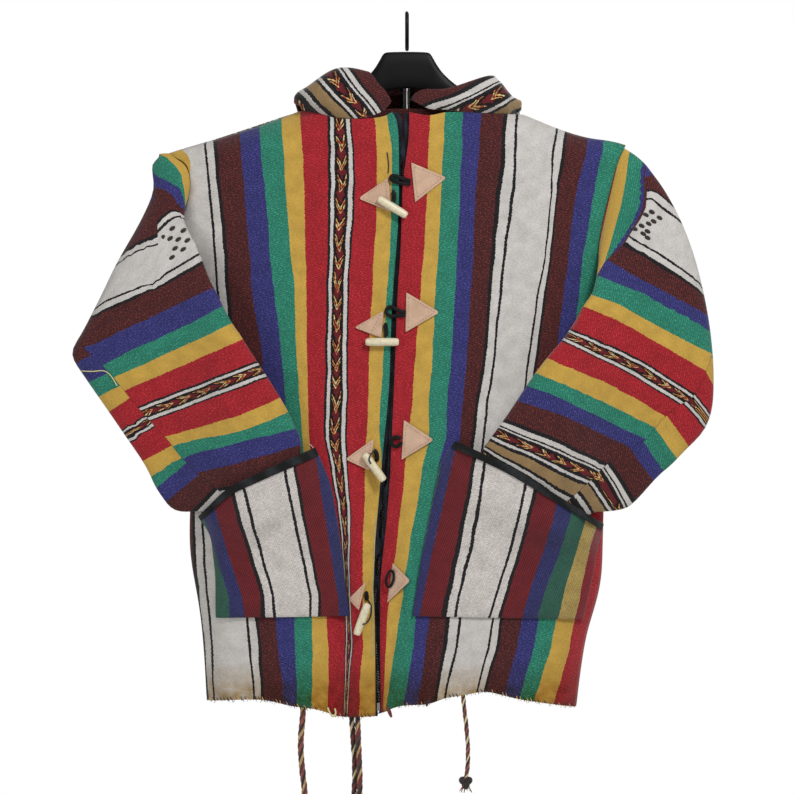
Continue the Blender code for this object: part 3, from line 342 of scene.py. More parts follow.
def soft_copy(node, name, levels=2, rim_crease=0.8, rim=RIM):
    piece = bpy.data.objects.new(name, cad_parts[node].data.copy())
    bpy.context.collection.objects.link(piece)
    piece.data.materials.clear()
    shape = bmesh.new()
    shape.from_mesh(piece.data)
    bmesh.ops.remove_doubles(shape, verts=shape.verts, dist=3e-6)
    bmesh.ops.join_triangles(shape, faces=shape.faces, angle_face_threshold=math.radians(40),
                             angle_shape_threshold=math.radians(70), cmp_seam=False)
    crease = shape.edges.layers.float.get("crease_edge") or shape.edges.layers.float.new("crease_edge")
    for edge in shape.edges:
        if len(edge.link_faces) == 2 and edge.calc_face_angle() > STEEP:
            if min(e.calc_length() for f in edge.link_faces for e in f.edges) < rim:
                edge[crease] = rim_crease
    shape.to_mesh(piece.data)
    shape.free()
    bpy.ops.object.select_all(action="DESELECT")
    bpy.context.view_layer.objects.active = piece
    piece.select_set(True)
    soften = piece.modifiers.new("soften", "SUBSURF")
    soften.levels = soften.render_levels = levels
    bpy.ops.object.modifier_apply(modifier=soften.name)
    piece.data.polygons.foreach_set("use_smooth", [True] * len(piece.data.polygons))
    piece.select_set(False)
    return piece


def places_of(piece):
    co = np.zeros(len(piece.data.vertices) * 3)
    piece.data.vertices.foreach_get("co", co)
    return co.reshape(-1, 3)


def put_places(piece, co):
    piece.data.vertices.foreach_set("co", co.ravel())
    piece.data.update()


def finish_piece(piece, node, material):
    """What every finished piece needs: its material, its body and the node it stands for."""
    piece.data.materials.append(material)
    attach(piece, "root")
    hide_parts(node)
    return piece


print("steeper than", round(math.degrees(STEEP)), "degrees counts as a rim")

# %% [markdown]
# ## Where the stripes run
# The cloth has one repeat of stripes, and every panel shows a part of it. Each panel carries a number
# at every point that says how far across the repeat that point is, in millimetres from the middle of
# the widest white stripe. The stripes aren't straight on the hanging jacket, so the number comes from
# a flat chart of stripe edges: lines on the picture, each with its place in the repeat. In between,
# the chart is read like a map with contour lines.

# %% A chart of stripe edges


def unit(vector):
    return vector / max(1e-12, np.linalg.norm(vector))


def make_chart(lines, steps=18, beyond=60, outside=(50, 50)):
    """A flat net of stripe edges. lines are (place in the repeat, points on the picture).
    Lines go on for beyond mm past both ends, and the net for outside mm past its first and last."""
    beyond = beyond * MM
    stripes, nets, runs = [], [], []
    for stripe, points in lines:
        path = np.array([spot(*p) for p in points])
        run = np.concatenate([[0], np.cumsum(np.linalg.norm(np.diff(path, axis=0), axis=1))])
        marks = np.linspace(0, run[-1], steps)
        line = np.stack([np.interp(marks, run, path[:, k]) for k in range(2)], axis=1)
        line = np.vstack([line[0] + unit(line[0] - line[1]) * beyond, line,
                          line[-1] + unit(line[-1] - line[-2]) * beyond])
        stripes.append(stripe)
        nets.append(line)
        runs.append(np.concatenate([[-beyond], marks, [run[-1] + beyond]]) / MM)
    for last, before, grow, end in ((0, 1, outside[0], 0), (-1, -2, outside[1], None)):
        apart = np.linalg.norm(nets[last] - nets[before], axis=1).mean() / MM
        share = grow / apart
        nets.insert(0 if end == 0 else len(nets), nets[last] + (nets[last] - nets[before]) * share)
        stripes.insert(0 if end == 0 else len(stripes),
                       stripes[last] + (stripes[last] - stripes[before]) * share)
        runs.insert(0 if end == 0 else len(runs), runs[last])
    net = np.array(nets)
    rows, columns = net.shape[:2]
    shares = np.clip((np.arange(columns) - 1) / (steps - 1), 0, 1)
    values = np.zeros((rows, columns, 3))
    values[:, :, 0] = np.array(stripes)[:, None]
    values[:, :, 1] = np.array(runs)
    values[:, :, 2] = shares[None]
    flat = [Vector((x, 0, z)) for x, z in net.reshape(-1, 2)]
    triangles = []
    for i in range(rows - 1):
        for j in range(columns - 1):
            a = i * columns + j
            triangles += [(a, a + 1, a + columns + 1), (a, a + columns + 1, a + columns)]
    return {"tree": BVHTree.FromPolygons(flat, triangles), "triangles": np.array(triangles),
            "net": net.reshape(-1, 2), "values": values.reshape(-1, 3)}


def read_chart(chart, flat_places):
    """Place in the repeat, way along the stripe and share of the way, at each flat place."""
    found = [chart["tree"].find_nearest(Vector((x, 0, z))) for x, z in flat_places]
    near = np.array([(hit[0].x, hit[0].z) for hit in found])
    corners = chart["triangles"][np.array([hit[2] for hit in found])]
    a, b, c = (chart["net"][corners[:, k]] for k in range(3))
    ab, ac, way = b - a, c - a, near - a
    area = ab[:, 0] * ac[:, 1] - ac[:, 0] * ab[:, 1]
    area = np.where(np.abs(area) < 1e-12, 1e-12, area)
    to_b = (way[:, 0] * ac[:, 1] - ac[:, 0] * way[:, 1]) / area
    to_c = (ab[:, 0] * way[:, 1] - way[:, 0] * ab[:, 1]) / area
    weights = np.clip(np.stack([1 - to_b - to_c, to_b, to_c], axis=1), 0, 1)
    weights /= weights.sum(axis=1, keepdims=True)
    return (chart["values"][corners] * weights[:, :, None]).sum(axis=1)


def lines_from(stripes, table):
    """Lines of a chart from a table: a row has its height on the picture, then one x per stripe edge."""
    lines = []
    for column, stripe in enumerate(stripes, 1):
        known = [(row[column], row[0]) for row in table if row[column] is not None]
        heights = [row[0] for row in table]
        across = np.interp(heights, [y for _, y in known], [x for x, _ in known])
        lines.append((stripe, list(zip(across, heights))))
    return lines


print("halfway up a slanted edge:", lines_from((0,), ((100, 10), (200, None), (300, 30)))[0][1][1])

# %% [markdown]
# The fronts are charted at some seventeen heights each. The first number in a row is the height on the
# picture, and the others are the edges of the stripes named above them. What is marked None is hidden.

# %% Charts of the two fronts
LEFT_EDGES = (-38, -21, 21, 38, 66, 89, 111, 131, 159, 189, 217, 237, 247)
LEFT_TABLE = (
    (113, None, None, 203, 216, 236, 257, 280, 300, 327, 351, 374, 385.5, 393),
    (123, None, None, 203, 216, 237, 258, 280, 300, 327, 351, 375, 391, 399),
    (137, 155, 169, 203.5, 217, 239, 260, 282, 302, 328, 353, 376, 391, 399),
    (160, 157, 171, 205.5, 216.5, 242.5, 262.5, 283.5, 303.5, 328, 355, 377, 392, 399),
    (200, 161, 175, 209.5, 222.5, 244.5, 265.5, 285.5, 305, 327.5, 356, 377, 391, 399),
    (250, 165, 179, 213.5, 227.5, 249.5, 269.5, 290.5, 306, 327.5, 351, 374, 390, 396),
    (300, None, None, None, 230, 251.5, 275.5, 295.5, 306.5, 326, 349, 372, 385.5, 391.5),
    (350, None, None, None, None, 262, 282, 296, 307, 325, 348, 368.5, 383.5, 390.5),
    (400, None, None, None, None, None, 286, 300, 308, 324.5, 348.5, 368.5, 380.5, 387.5),
    (440, None, None, None, None, None, None, 303, 309, 323, 346.5, 366, 378, 386),
    (480, None, None, None, None, None, None, None, 314, 333, 348.5, 364, 383, 392),
    (505, 195, 204.2, None, None, None, None, None, None, 337, 351.3, 364, 384, 393),
    (520, 195.5, 205, None, None, None, None, None, None, 339, 352.5, 364, 384, 393),
    (560, 197, 205.8, None, None, None, None, None, 324, 343.5, 349.5, 362, 384, 393),
    (620, 200.5, 211.5, 247, 259, 275, 295, 311.7, 327, 345.5, 351.5, 362, 384, 393),
    (650, 203, 212.7, 249, 262, 278, 295.6, 312.4, 329.3, 345.5, 353.5, 362.3, 384, 393),
    (690, 206, 214.5, 254, 264, 283.8, 297.8, 311.7, 328.6, 344.4, 348.6, 359, 384, 393),
    (715, 207, 215, 255, 265, 285, 298, 311.7, 328, 343.5, 347.8, 358, 384, 393),
)
RIGHT_EDGES = (-156, -131, -111, -89, -66, -38, -21, 21, 38, 66, 89, 111, 131, 159)
RIGHT_TABLE = (
    (120, 409, 430, 445, 463, 481, 503, 518, 557, 569, 589, 605, 630, 650, 680),
    (144, 406, 429, 444, 462, 480, 502, 517, 553.5, 566, 588, 604, 630, 650, 680),
    (172, 404.5, 428, 442.5, 461, 477.5, 499, 515.5, 548, 562, 581, 598, 624, 644, 672),
    (186, 404, 427.5, 442, 460.5, 476, 497, 515, 551, 559, 577, 594.5, 620, 640, 668),
    (200, 403, 427, 441, 460, 475, 495.5, 514, 550, 556.5, 573, 591, 618, 638, 666),
    (250, 400.5, 424, 439, 457, 474, 491, 506, 546, 552, 569, 583, 606, 626, 650),
    (300, 397.5, 420, 435, 455, 470, 487, 501, 536, 545, 562, 578, 600, 620, 640),
    (350, 396, 416, 434, 452, 468, 484.5, 496, 529, None, None, None, None, None, None),
    (400, 394, 412, 429, 447, 463.5, 475.5, 489, None, None, None, None, None, None, None),
    (440, 392, 408, 430, 446, 460, 471, None, None, None, None, None, None, None, None),
    (480, 389, 404, 421, 435, 449, None, None, None, None, None, None, None, None, None),
    (520, 385, 400, 415, 427, None, None, None, None, None, None, None, None, None, None),
    (560, 381, 395, 406.5, 420, None, None, None, None, None, None, None, None, None, None),
    (600, 380, 388, 403, 416, None, None, None, None, None, None, None, None, None, None),
    (640, 380, 386, 396.4, 414.7, 426.5, 443, 458.7, 488.8, 500, 518, 535.7, 551.8, 571.6, 598),
    (690, 381, 384, 388, 406, 420, 436, 447, 475.6, 485, 504, 521, 535.7, 557, 584),
    (715, 381, 383, 385, 401, 415, 431, 441, 469, 479, 498, 515, 529, 550, 577),
)
charts = {
    "front_left": make_chart(lines_from(LEFT_EDGES, LEFT_TABLE), outside=(60, 15)),
    "front_right": make_chart(lines_from(RIGHT_EDGES, RIGHT_TABLE), outside=(15, 60)),
}
print("front charts:", {key: len(value["triangles"]) for key, value in charts.items()})

# %% [markdown]
# On a sleeve the stripes go round the arm. The lines run from its outer fold to its inner one, and
# fan out over the bent elbow. A sleeve is one tube with a seam along it, and beyond that seam the
# stripes don't meet: they lie steeper and a little further on. So that strip has a chart of its own,
# and the seam's line says which of the two counts.

# %% Charts of the two sleeves
SLEEVE_LEFT_LINES = (
    (-66, ((141, 218), (150, 206), (156, 196), (166, 190))),
    (-37, ((122, 257), (128.6, 253.5), (140, 245), (151, 239), (159.4, 236.6), (172, 228))),
    (-33, ((121, 261), (126.8, 257.5), (140, 248.5), (151, 242.5), (159.4, 239.3), (173, 231))),
    (-22, ((118, 268), (123, 264.7), (133, 255.5), (144, 249.4), (152.8, 246.3), (160, 244), (174, 236))),
    (22, ((97, 309), (107, 301.4), (123.4, 295.8), (133.6, 292.2), (143, 287.6), (152.4, 285.6), (160, 282.5),
          (164, 276), (199, 254))),
    (33, ((90, 317), (140, 294), (160, 286), (204, 260))),
    (38, ((88, 320), (140, 297), (160, 288), (206, 263))),
    (66, ((80, 351), (216, 287))),
    (89, ((92, 371), (224, 307))),
    (111, ((103, 382), (236, 322))),
    (131, ((118, 394), (244, 340))),
    (160, ((131, 410), (259, 361))),
    (189, ((143, 424), (270, 377))),
    (217, ((157, 440), (200, 428), (240, 415), (284, 396))),
    (237, ((165, 446), (200, 438), (240, 433), (295, 409))),
    (259, ((171, 464), (200, 451), (240, 441), (302, 427))),
    (282, ((180, 476), (200, 471), (240, 462), (305, 443))),
    (312, ((186, 521), (197, 506), (215, 490), (240, 486), (309, 466))),
    (321, ((193, 524), (203, 510), (221, 495), (309, 474))),
    (326, ((198, 526), (208, 512), (226, 499), (309, 480))),
    (348, ((212, 532), (222, 518), (240, 507), (309, 500))),
)
CAP_LEFT_LINES = (
    (-131, ((150, 148), (170, 149), (186, 151), (193, 160), (193, 178), (188, 202))),
    (-111, ((155, 160), (164, 155.5), (171, 161), (178, 168), (182, 176), (184, 200))),
    (-89, ((150, 171), (158, 172), (165, 180), (175, 186), (181, 188), (186, 206))),
    (-66, ((152, 196), (157, 187), (162, 187), (171, 193), (176, 204), (187, 214))),
    (-38, ((157, 224), (162, 217), (170, 210), (179, 211), (190, 219))),
    (-34, ((158, 227), (163, 220), (172, 212), (180, 213), (190, 221))),
    (-24, ((159, 230), (165, 222), (174, 216), (181, 215), (191, 224))),
    (-21, ((160, 233), (167, 225), (176, 218), (182, 217), (192, 227))),
    (20, ((161, 277), (171, 270), (186, 260), (201, 253))),
)
FOLD_LEFT = ((148, 186), (154, 195), (159, 226), (159.5, 240), (161, 262), (168, 262), (210, 250))
BEYOND_LEFT_LINES = (
    (38, ((58, 350), (90, 331))),
    (66, ((62, 374), (98, 352))),
    (89, ((76, 388), (118, 369))),
    (111, ((86, 403), (128, 381))),
    (131, ((98, 420), (138, 393))),
    (160, ((110, 440), (157, 410))),
    (188, ((118, 448), (165, 418))),
    (217, ((130, 467), (180, 442))),
    (237, ((139, 484), (187, 455))),
    (259, ((147, 497), (191, 458))),
    (282, ((157, 508), (205, 470))),
    (312, ((180, 527), (225, 478))),
    (321, ((188, 531), (230, 486))),
    (326, ((193, 534), (234, 490))),
    (348, ((210, 545), (252, 502))),
)
SEAM_LEFT = ((60, 320), (87, 348), (100, 362), (115, 378), (130, 397), (148, 418), (167, 438), (180, 455),
             (195, 470), (215, 487), (240, 505))
SLEEVE_RIGHT_LINES = (
    (-89, ((640, 175), (642, 167), (647, 156))),
    (-66, ((640, 182), (649, 177), (660, 173))),
    (-38, ((645, 190), (654, 190), (662, 196), (679, 210))),
    (-33, ((645, 193), (653, 192), (661, 198), (680, 214))),
    (-22, ((645, 200), (650, 199), (660, 208), (687, 227))),
    (22, ((629, 237), (634, 241), (665, 259), (690, 276), (703, 290))),
    (33, ((625, 241), (632, 246), (665, 266), (690, 283), (704, 293))),
    (38, ((622, 246), (640, 256), (670, 274), (700, 293), (705, 300))),
    (66, ((613, 264), (640, 280), (670, 296), (706, 315))),
    (89, ((601, 277), (640, 293), (660, 303), (700, 323), (710, 331))),
    (111, ((589, 294), (620, 305), (660, 328), (708, 352))),
    (131, ((581, 306), (620, 322), (660, 345), (704, 371))),
    (160, ((568, 329), (640, 360), (698, 397))),
    (187, ((561, 340), (620, 368), (684, 406))),
    (217, ((546, 358), (600, 380), (640, 400), (672, 421))),
    (237, ((536, 373), (580, 392), (620, 410), (662, 431))),
    (259, ((528, 386), (560, 398), (600, 418), (650, 441))),
    (282, ((515, 400), (560, 413), (600, 432), (640, 451))),
    (310, ((502, 418), (560, 440), (612, 468))),
    (318, ((500, 424), (560, 447), (610, 471))),
    (325, ((497, 427), (556, 451), (607, 475))),
    (337, ((492, 431), (545, 455), (602, 481))),
    (350, ((489, 436), (540, 458), (597, 486))),
    (355, ((486, 440), (530, 460), (593, 489))),
    (365, ((484, 445), (535, 473), (575, 496), (597, 517))),
)
BEYOND_RIGHT_LINES = (
    (66, ((700, 308), (728, 326))),
    (89, ((702, 322), (725, 351))),
    (111, ((700, 341), (722, 374))),
    (131, ((697, 359), (721, 400))),
    (160, ((687, 384), (705, 408), (719, 429))),
    (187, ((677, 396), (695, 415), (712, 438))),
    (217, ((662, 410), (678, 432), (696, 458))),
    (237, ((648, 419), (666, 443), (686, 469))),
    (259, ((635, 429), (652, 455), (670, 481))),
    (282, ((626, 442), (642, 465), (661, 489))),
    (314, ((610, 468), (622, 484), (633, 500))),
    (325, ((603, 470), (614, 486), (625, 505))),
    (350, ((592, 484), (602, 496), (612, 510))),
    (357, ((588, 488), (597, 500), (605, 513))),
    (365, ((580, 492), (590, 506), (598, 518))),
)
# on the right cap the last two lines press the blue, brown and black stripes into a thin band against the
# fold: the stripes do run on into the fold, and the band is made this thin and dark as painted shade there
CAP_RIGHT_LINES = (
    (-131, ((622, 145), (616, 170), (608, 205), (600, 240), (594, 273))),
    (-111, ((630, 146), (627, 170), (621, 204), (611, 240), (603, 268))),
    (-89, ((645, 155), (642, 175), (642, 192), (640.5, 208), (634, 221), (621, 243), (605, 263))),
    (-37, ((651, 155), (646, 175), (647, 191), (646, 207), (639, 222), (625, 245), (607, 265))),
)
FOLD_RIGHT = ((652, 140), (646, 160), (645, 175), (646.5, 191), (645, 209), (639, 221), (631, 232),
              (624, 244), (616, 251), (605, 261), (596, 276), (588, 290))
SEAM_RIGHT = ((725, 320), (713, 350), (708, 365), (700, 385), (690, 398), (676, 405), (660, 420), (645, 440),
              (625, 450), (605, 465), (590, 480), (577, 492), (560, 506))
for side, own, strip, cap in (("left", SLEEVE_LEFT_LINES, BEYOND_LEFT_LINES, CAP_LEFT_LINES),
                              ("right", SLEEVE_RIGHT_LINES, BEYOND_RIGHT_LINES, CAP_RIGHT_LINES)):
    charts["sleeve_" + side] = make_chart(own, beyond=7, outside=(10, 60))
    charts["sleeve_" + side + "_beyond"] = make_chart(strip, beyond=7, outside=(160, 60))
    charts["sleeve_" + side + "_cap"] = make_chart(cap, beyond=7, outside=(12, 4))
print("sleeve charts:", len(SLEEVE_LEFT_LINES), "and", len(SLEEVE_RIGHT_LINES), "lines")

# %% [markdown]
# The pockets are cut from the same cloth, laid with its other face outwards, so their stripes are the
# same repeat in duller colours. Four heights are enough for each.

# %% Charts of the two pockets
POCKET_LEFT_EDGES = (-111, -89, -66, -38, -33, -24, -21, 21, 24, 33, 38, 66, 89)
POCKET_LEFT_TABLE = (
    (450, 172, 186, 200, 221, 226, 235, 238.5, 280.5, 284, 291, 294, 315, 328),
    (504, 186, 200, 214, 234, 238.5, 246.5, 250, 290, 293, 299.5, 303, 323.5, 335),
    (596, 213, 229.5, 242.5, 261.5, 266, 272.5, 275.5, 309.5, 312.5, 318.5, 321.5, 338, 350),
    (620, 217, 230, 246, 261.5, 267, 274, 277, 310, 312, 318, 321.5, 340, 352),
)
POCKET_RIGHT_EDGES = (-89, -66, -38, -33, -24, -21, 21, 24, 33, 38, 66, 89, 111, 131, 159)
POCKET_RIGHT_TABLE = (
    (450, 444, 455, 474, 478.5, 485, 488, 531, 534, 541, 545, 570, 589, 606, 622, 645),
    (541, 425, 434, 457, 462, 470, 474.5, 510.5, 513.5, 519.5, 524, 546, 562, 578, 591, 612),
    (600, 411, 422, 443, 449.5, 455.8, 459, 492.5, 495, 501.7, 505.5, 525.5, 541, 560.5, 578.5, 600),
    (620, 408, 419, 440, 446.5, 453, 456, 487, 490, 496.5, 500, 521, 536, 556, 574, 596),
)
charts["pocket_left"] = make_chart(lines_from(POCKET_LEFT_EDGES, POCKET_LEFT_TABLE), steps=8)
charts["pocket_right"] = make_chart(lines_from(POCKET_RIGHT_EDGES, POCKET_RIGHT_TABLE), steps=8)
print("pocket charts:", len(POCKET_LEFT_EDGES), "and", len(POCKET_RIGHT_EDGES), "edges")

# %% [markdown]
# The hood lies down behind the neck. Its stripes run up from the neck seam, over its crest and down
# behind, so each half has two charts that agree along the crest: one for what faces the front and one
# for what faces the back.

# %% Charts of the two halves of the hood
HOOD_LINES = {
    "hood_left": (
        (320, ((407, 62), (407, 130))),
        (311, ((400, 62), (401, 130))),
        (296, ((391, 62), (394, 130))),
        (288, ((372, 70), (391, 114))),
        (300, ((358, 66), (387, 116))),
        (318, ((343, 66), (380, 118))),
        (333, ((331, 71), (369, 119))),
        (349.6, ((319, 78), (357, 120))),
        (360, ((312, 85), (346, 120))),
        (370, ((304, 94), (330, 122))),
        (380, ((297, 104), (316, 120))),
    ),
    "hood_left_back": (
        (282, ((407, 66), (407, 150), (407, 258))),
        (288, ((372, 70), (392, 150), (401, 256))),
        (300, ((358, 66), (378, 150), (391, 250))),
        (318, ((343, 66), (360, 150), (376, 242))),
        (333, ((331, 71), (346, 150), (361, 232))),
        (349.6, ((319, 78), (331, 150), (345, 222))),
        (360, ((312, 85), (322, 150), (335, 214))),
        (370, ((304, 94), (313, 150), (326, 206))),
        (380, ((297, 104), (304, 150), (318, 198))),
    ),
    "hood_right": (
        (320, ((407, 62), (407, 130))),
        (312, ((413, 62), (410, 118))),
        (302, ((450, 88), (418, 115))),
        (311, ((486, 77), (425, 113))),
        (318, ((498, 80), (429, 115))),
        (326, ((502, 83), (440, 116))),
        (337, ((507, 90), (456, 117))),
        (349.6, ((514, 98), (475, 118))),
        (360, ((519, 105), (492, 118))),
        (372, ((528, 112), (512, 121))),
    ),
    "hood_right_back": (
        (290, ((407, 66), (407, 150), (407, 258))),
        (302, ((450, 84), (436, 150), (424, 254))),
        (311, ((486, 77), (466, 150), (447, 245))),
        (318, ((498, 80), (477, 150), (456, 238))),
        (326, ((502, 83), (486, 150), (464, 230))),
        (337, ((507, 90), (494, 150), (474, 222))),
        (349.6, ((514, 98), (503, 150), (485, 212))),
        (360, ((519, 105), (510, 150), (494, 204))),
        (372, ((528, 112), (520, 150), (505, 196))),
    ),
}
for key, lines in HOOD_LINES.items():
    charts[key] = make_chart(lines, steps=10, beyond=5, outside=(20, 40))
print("hood lines:", sum(len(lines) for lines in HOOD_LINES.values()))

# %% [markdown]
# ## Soft folds
# Hung cloth is never smooth. Its main creases are given one by one: each is a line on the panel, pushed in
# as a trough or out as a ridge, deepest in its middle and fading out at both ends and sides. Over
# them lies a very soft, uneven swell, as in any loosely woven wool.

# %% Push creases into a panel
# x and z of both ends in mm, push away from the viewer in mm, half width in mm
CREASES = {
    "front_left": (
        (-262, -172, -248, -208, 2.6, 9), (-283, -205, -276, -262, 2.2, 7), (-35, -300, -52, -420, 2.4, 10),
        (-14, -170, -24, -260, 1.8, 8), (-60, -420, -44, -520, -2.2, 11), (-96, -250, -112, -400, 1.6, 14),
        (-30, -560, -44, -640, 2.6, 9), (-150, -770, -140, -850, 2.4, 14), (-220, -770, -226, -850, -2.0, 12),
        (-100, -780, -98, -860, -2.2, 10), (-48, -640, -40, -720, -2.6, 8),
    ),
    "front_right": (
        (176, -176, 183, -216, 3.4, 7), (186, -150, 176, -190, -2.0, 7), (40, -190, 30, -330, 1.8, 12),
        (214, -190, 224, -300, 2.4, 12), (10, -420, 2, -540, 2.4, 9), (28, -540, 10, -680, -2.6, 9),
        (90, -240, 84, -420, -1.8, 16), (66, -780, 52, -846, 2.6, 11), (120, -770, 104, -842, -2.2, 13),
        (190, -770, 182, -850, 2.0, 14), (0, -700, -8, -800, 2.8, 8), (150, -200, 138, -330, 1.6, 10),
    ),
    "back": (
        (-190, -240, -150, -420, 2.6, 16), (170, -230, 140, -430, 2.8, 16), (-40, -320, -60, -600, -2.2, 20),
        (60, -330, 84, -620, -2.4, 20), (-150, -600, -156, -820, 2.4, 18), (10, -620, 4, -840, 2.0, 16),
        (150, -640, 156, -830, -2.2, 18), (-90, -700, -84, -860, -2.0, 14),
    ),
    "sleeve_left": (
        (-313, -222, -309, -338, -4.2, 5), (-327, -232, -322, -330, -1.8, 8),
        (-288, -196, -276, -240, -2.6, 6), (-392, -400, -330, -428, -2.2, 9),
        (-372, -352, -300, -352, -2.4, 10), (-300, -420, -190, -400, -2.0, 12),
        (-336, -500, -240, -500, -2.2, 11), (-262, -440, -176, -470, -1.8, 9),
        (-310, -560, -200, -548, -2.6, 9), (-280, -596, -176, -560, -2.4, 8),
        (-250, -510, -160, -500, -1.6, 8),
    ),
    "sleeve_right": (
        (291, -176, 291, -246, 6.5, 7), (290, -240, 260, -296, 6.0, 7), (303, -206, 301, -250, -3.4, 6),
        (298, -246, 270, -296, -3.4, 6), (320, -196, 338, -250, -2.0, 8), (362, -372, 300, -352, -2.2, 10),
        (372, -430, 280, -410, -2.4, 12), (330, -486, 220, -446, -2.0, 10), (286, -536, 190, -486, -2.2, 9),
        (250, -560, 150, -506, -1.8, 8), (240, -584, 140, -536, -2.2, 8), (300, -440, 210, -400, -1.8, 10),
        (356, -468, 328, -520, -2.4, 10),
    ),
    "pocket_left": (
        (-150, -580, -160, -720, 1.8, 12), (-206, -640, -212, -740, -1.8, 12),
        (-104, -600, -96, -730, -1.6, 9),
    ),
    "pocket_right": (
        (90, -590, 78, -730, -1.8, 12), (150, -620, 140, -740, 1.6, 12), (196, -640, 186, -746, -1.8, 11),
    ),
    "hood_left": ((-96, -78, -64, -112, 2.2, 5), (-112, -92, -92, -118, -1.8, 5)),
    "hood_right": ((34, -117, 50, -124, 2.4, 5), (70, -104, 110, -98, -1.6, 6)),
}
# x and z in mm of a place near the outline, how far it moves in x, y and z, and the reach in x and z
NUDGES = {
    "sleeve_left": ((-311, -190, -12, 0, 2, 22, 20), (-298, -177, 0, 0, 4, 8, 9),
                    (-316, -184, -3, 0, 1, 8, 9), (-416, -421, -6, 0, 0, 20, 20),
                    (-309, -592, -5, 0, -3, 26, 24), (-290, -612, -3, 0, -4, 18, 18),
                    (-361, -304, -6, 0, 0, 40, 60)),
    "sleeve_right": ((312, -196, -2, 0, 1, 14, 14), (366, -518, 4, 0, -4, 34, 34),
                     (330, -560, 1, 0, -2, 24, 20), (276, -604, 1, 0, -6, 30, 22)),
    "front_left": ((-268, -690, -6, 0, 0, 14, 80),),
    "back": ((-268, -690, -6, 0, 0, 14, 80),),
    "hood_right": ((142, -112, -10, 0, -2, 12, 16), (4, -108, 0, 0, 20, 34, 26)),
    "hood_left": ((-4, -108, 0, 0, 20, 34, 26), (-138, -108, -2, 0, 2, 12, 14)),
}
# the swell is 1.1 mm high, and its waves are about 55 mm wide
SWELL = 1.1
SWELL_SIZE = 0.055


def crease_push(table, x, z):
    """How far the creases push each place, in metres."""
    total = np.zeros(len(x))
    for x1, z1, x2, z2, push, half_width in table:
        start = np.array((x1, z1)) * MM
        along = np.array((x2, z2)) * MM - start
        length = np.linalg.norm(along)
        along /= length
        way = (x - start[0]) * along[0] + (z - start[1]) * along[1]
        off = (x - start[0]) * along[1] - (z - start[1]) * along[0]
        bend = 0.12 * length * np.sin(np.pi * np.clip(way / length, 0, 1)) * np.sign(push)
        middle = np.clip(way / length, -0.15, 1.15) * 2 - 1
        fade = np.exp(-(middle / 0.8) ** 4)
        total += push * MM * fade * np.exp(-((off - bend * 0.3) / (half_width * MM)) ** 2)
    return total


def nudge(co, table):
    """Moves the places near each spot of a table."""
    for x, z, dx, dy, dz, reach_x, reach_z in table:
        near = np.exp(-((co[:, 0] / MM - x) / reach_x) ** 2 - ((co[:, 2] / MM - z) / reach_z) ** 2)
        co += near[:, None] * np.array((dx, dy, dz)) * MM
    return co


def swell(places, seed):
    """A slow wave in and out, longer up and down than across."""
    at = places / SWELL_SIZE * (1, 1, 0.6) + (seed, 0, 0)
    return np.array([noise.noise(Vector(place)) for place in at]) * SWELL * MM


def fold_cloth(piece, node, seed, outward_only=False):
    co = nudge(places_of(piece), NUDGES.get(node, ()))
    push = crease_push(CREASES.get(node, ()), co[:, 0], co[:, 2])
    wave = swell(co * (1, 0, 1), seed)
    if outward_only:
        wave = -np.abs(wave)
    co[:, 1] += push + wave
    put_places(piece, co)


print("creases:", sum(len(rows) for rows in CREASES.values()))

# %% [markdown]
# ## The wool itself
# The cloth is a weft-faced blanket weave: thick, loosely spun wool packed so tightly that the warp is
# hidden. Its stripes are whole bands of weft in one colour. So the repeat is a short list of stripes,
# and each colour has a ground and a fleck of other dye. The pockets show the cloth's other face, where
# the same stripes are duller.

# %% The repeat of the stripes
# start of each stripe in mm from the middle of the wide white one; the repeat turns back at 360
REPEAT = (
    (0, "white"), (21, "black"), (24, "white"), (33, "black"), (38, "brown"), (66, "blue"), (89, "green"),
    (111, "yellow"), (131, "red"), (159, "black"), (162, "white"), (166.3, "black"), (181.7, "white"),
    (186, "black"), (189, "red"), (217, "yellow"), (237, "green"), (259, "blue"), (282, "brown"),
    (310, "black"), (315, "white"), (321, "black"), (323.5, "white"), (326, "black"), (347.6, "white"),
    (351.6, "black"), (355, "tan"),
)
HALF_REPEAT = 360
# ground and fleck of each colour on the face, and on the other face that the pockets show
FACE = {
    "white": ("#C0BCB8", "#A39E99"), "black": ("#161518", "#2B2829"), "brown": ("#3C1B1E", "#7A362B"),
    "blue": ("#2B2C62", "#504C8E"), "green": ("#24705C", "#45957B"), "yellow": ("#BC9845", "#9F7D36"),
    "red": ("#921B25", "#B63638"), "tan": ("#8C7350", "#77603F"),
}
OTHER_FACE = dict(
    FACE, white=("#C4BEBA", "#AFA8A3"), brown=("#6E2227", "#241216"), blue=("#27294E", "#3E3D74"),
    green=("#31594A", "#22403A"), yellow=("#A38D52", "#86703F"), red=("#7C222A", "#571A20"))
print("stripes in half a repeat:", len(REPEAT))

# %% [markdown]
# The stripes' edges are ragged, where threads step in and out, and wander a little over a hand's
# width. So the place in the repeat is shaken by two noises before it picks a colour. In the functions
# below, node is the adding function tied to the wool's own tree, and cloth is the pair of places
# across and along the stripes.

# %% Noise on the cloth, and the colour of each stripe
RAMP_SPLIT = 200


def soft(node, cloth, size_mm, detail=2.0):
    """Noise in soft spots of about the given size."""
    across, along = (node("Math", place, 1 / size_mm, operation="MULTIPLY") for place in cloth)
    vector = node("CombineXYZ", across, along, 0.0)
    return node("TexNoise", {"Vector": vector, "Scale": 1.0, "Detail": detail})


def shake(node, cloth, size_mm, by, detail=1.0):
    """The same noise, from minus to plus half of by."""
    centred = node("Math", soft(node, cloth, size_mm, detail), 0.5, operation="SUBTRACT")
    return node("Math", centred, by, operation="MULTIPLY")


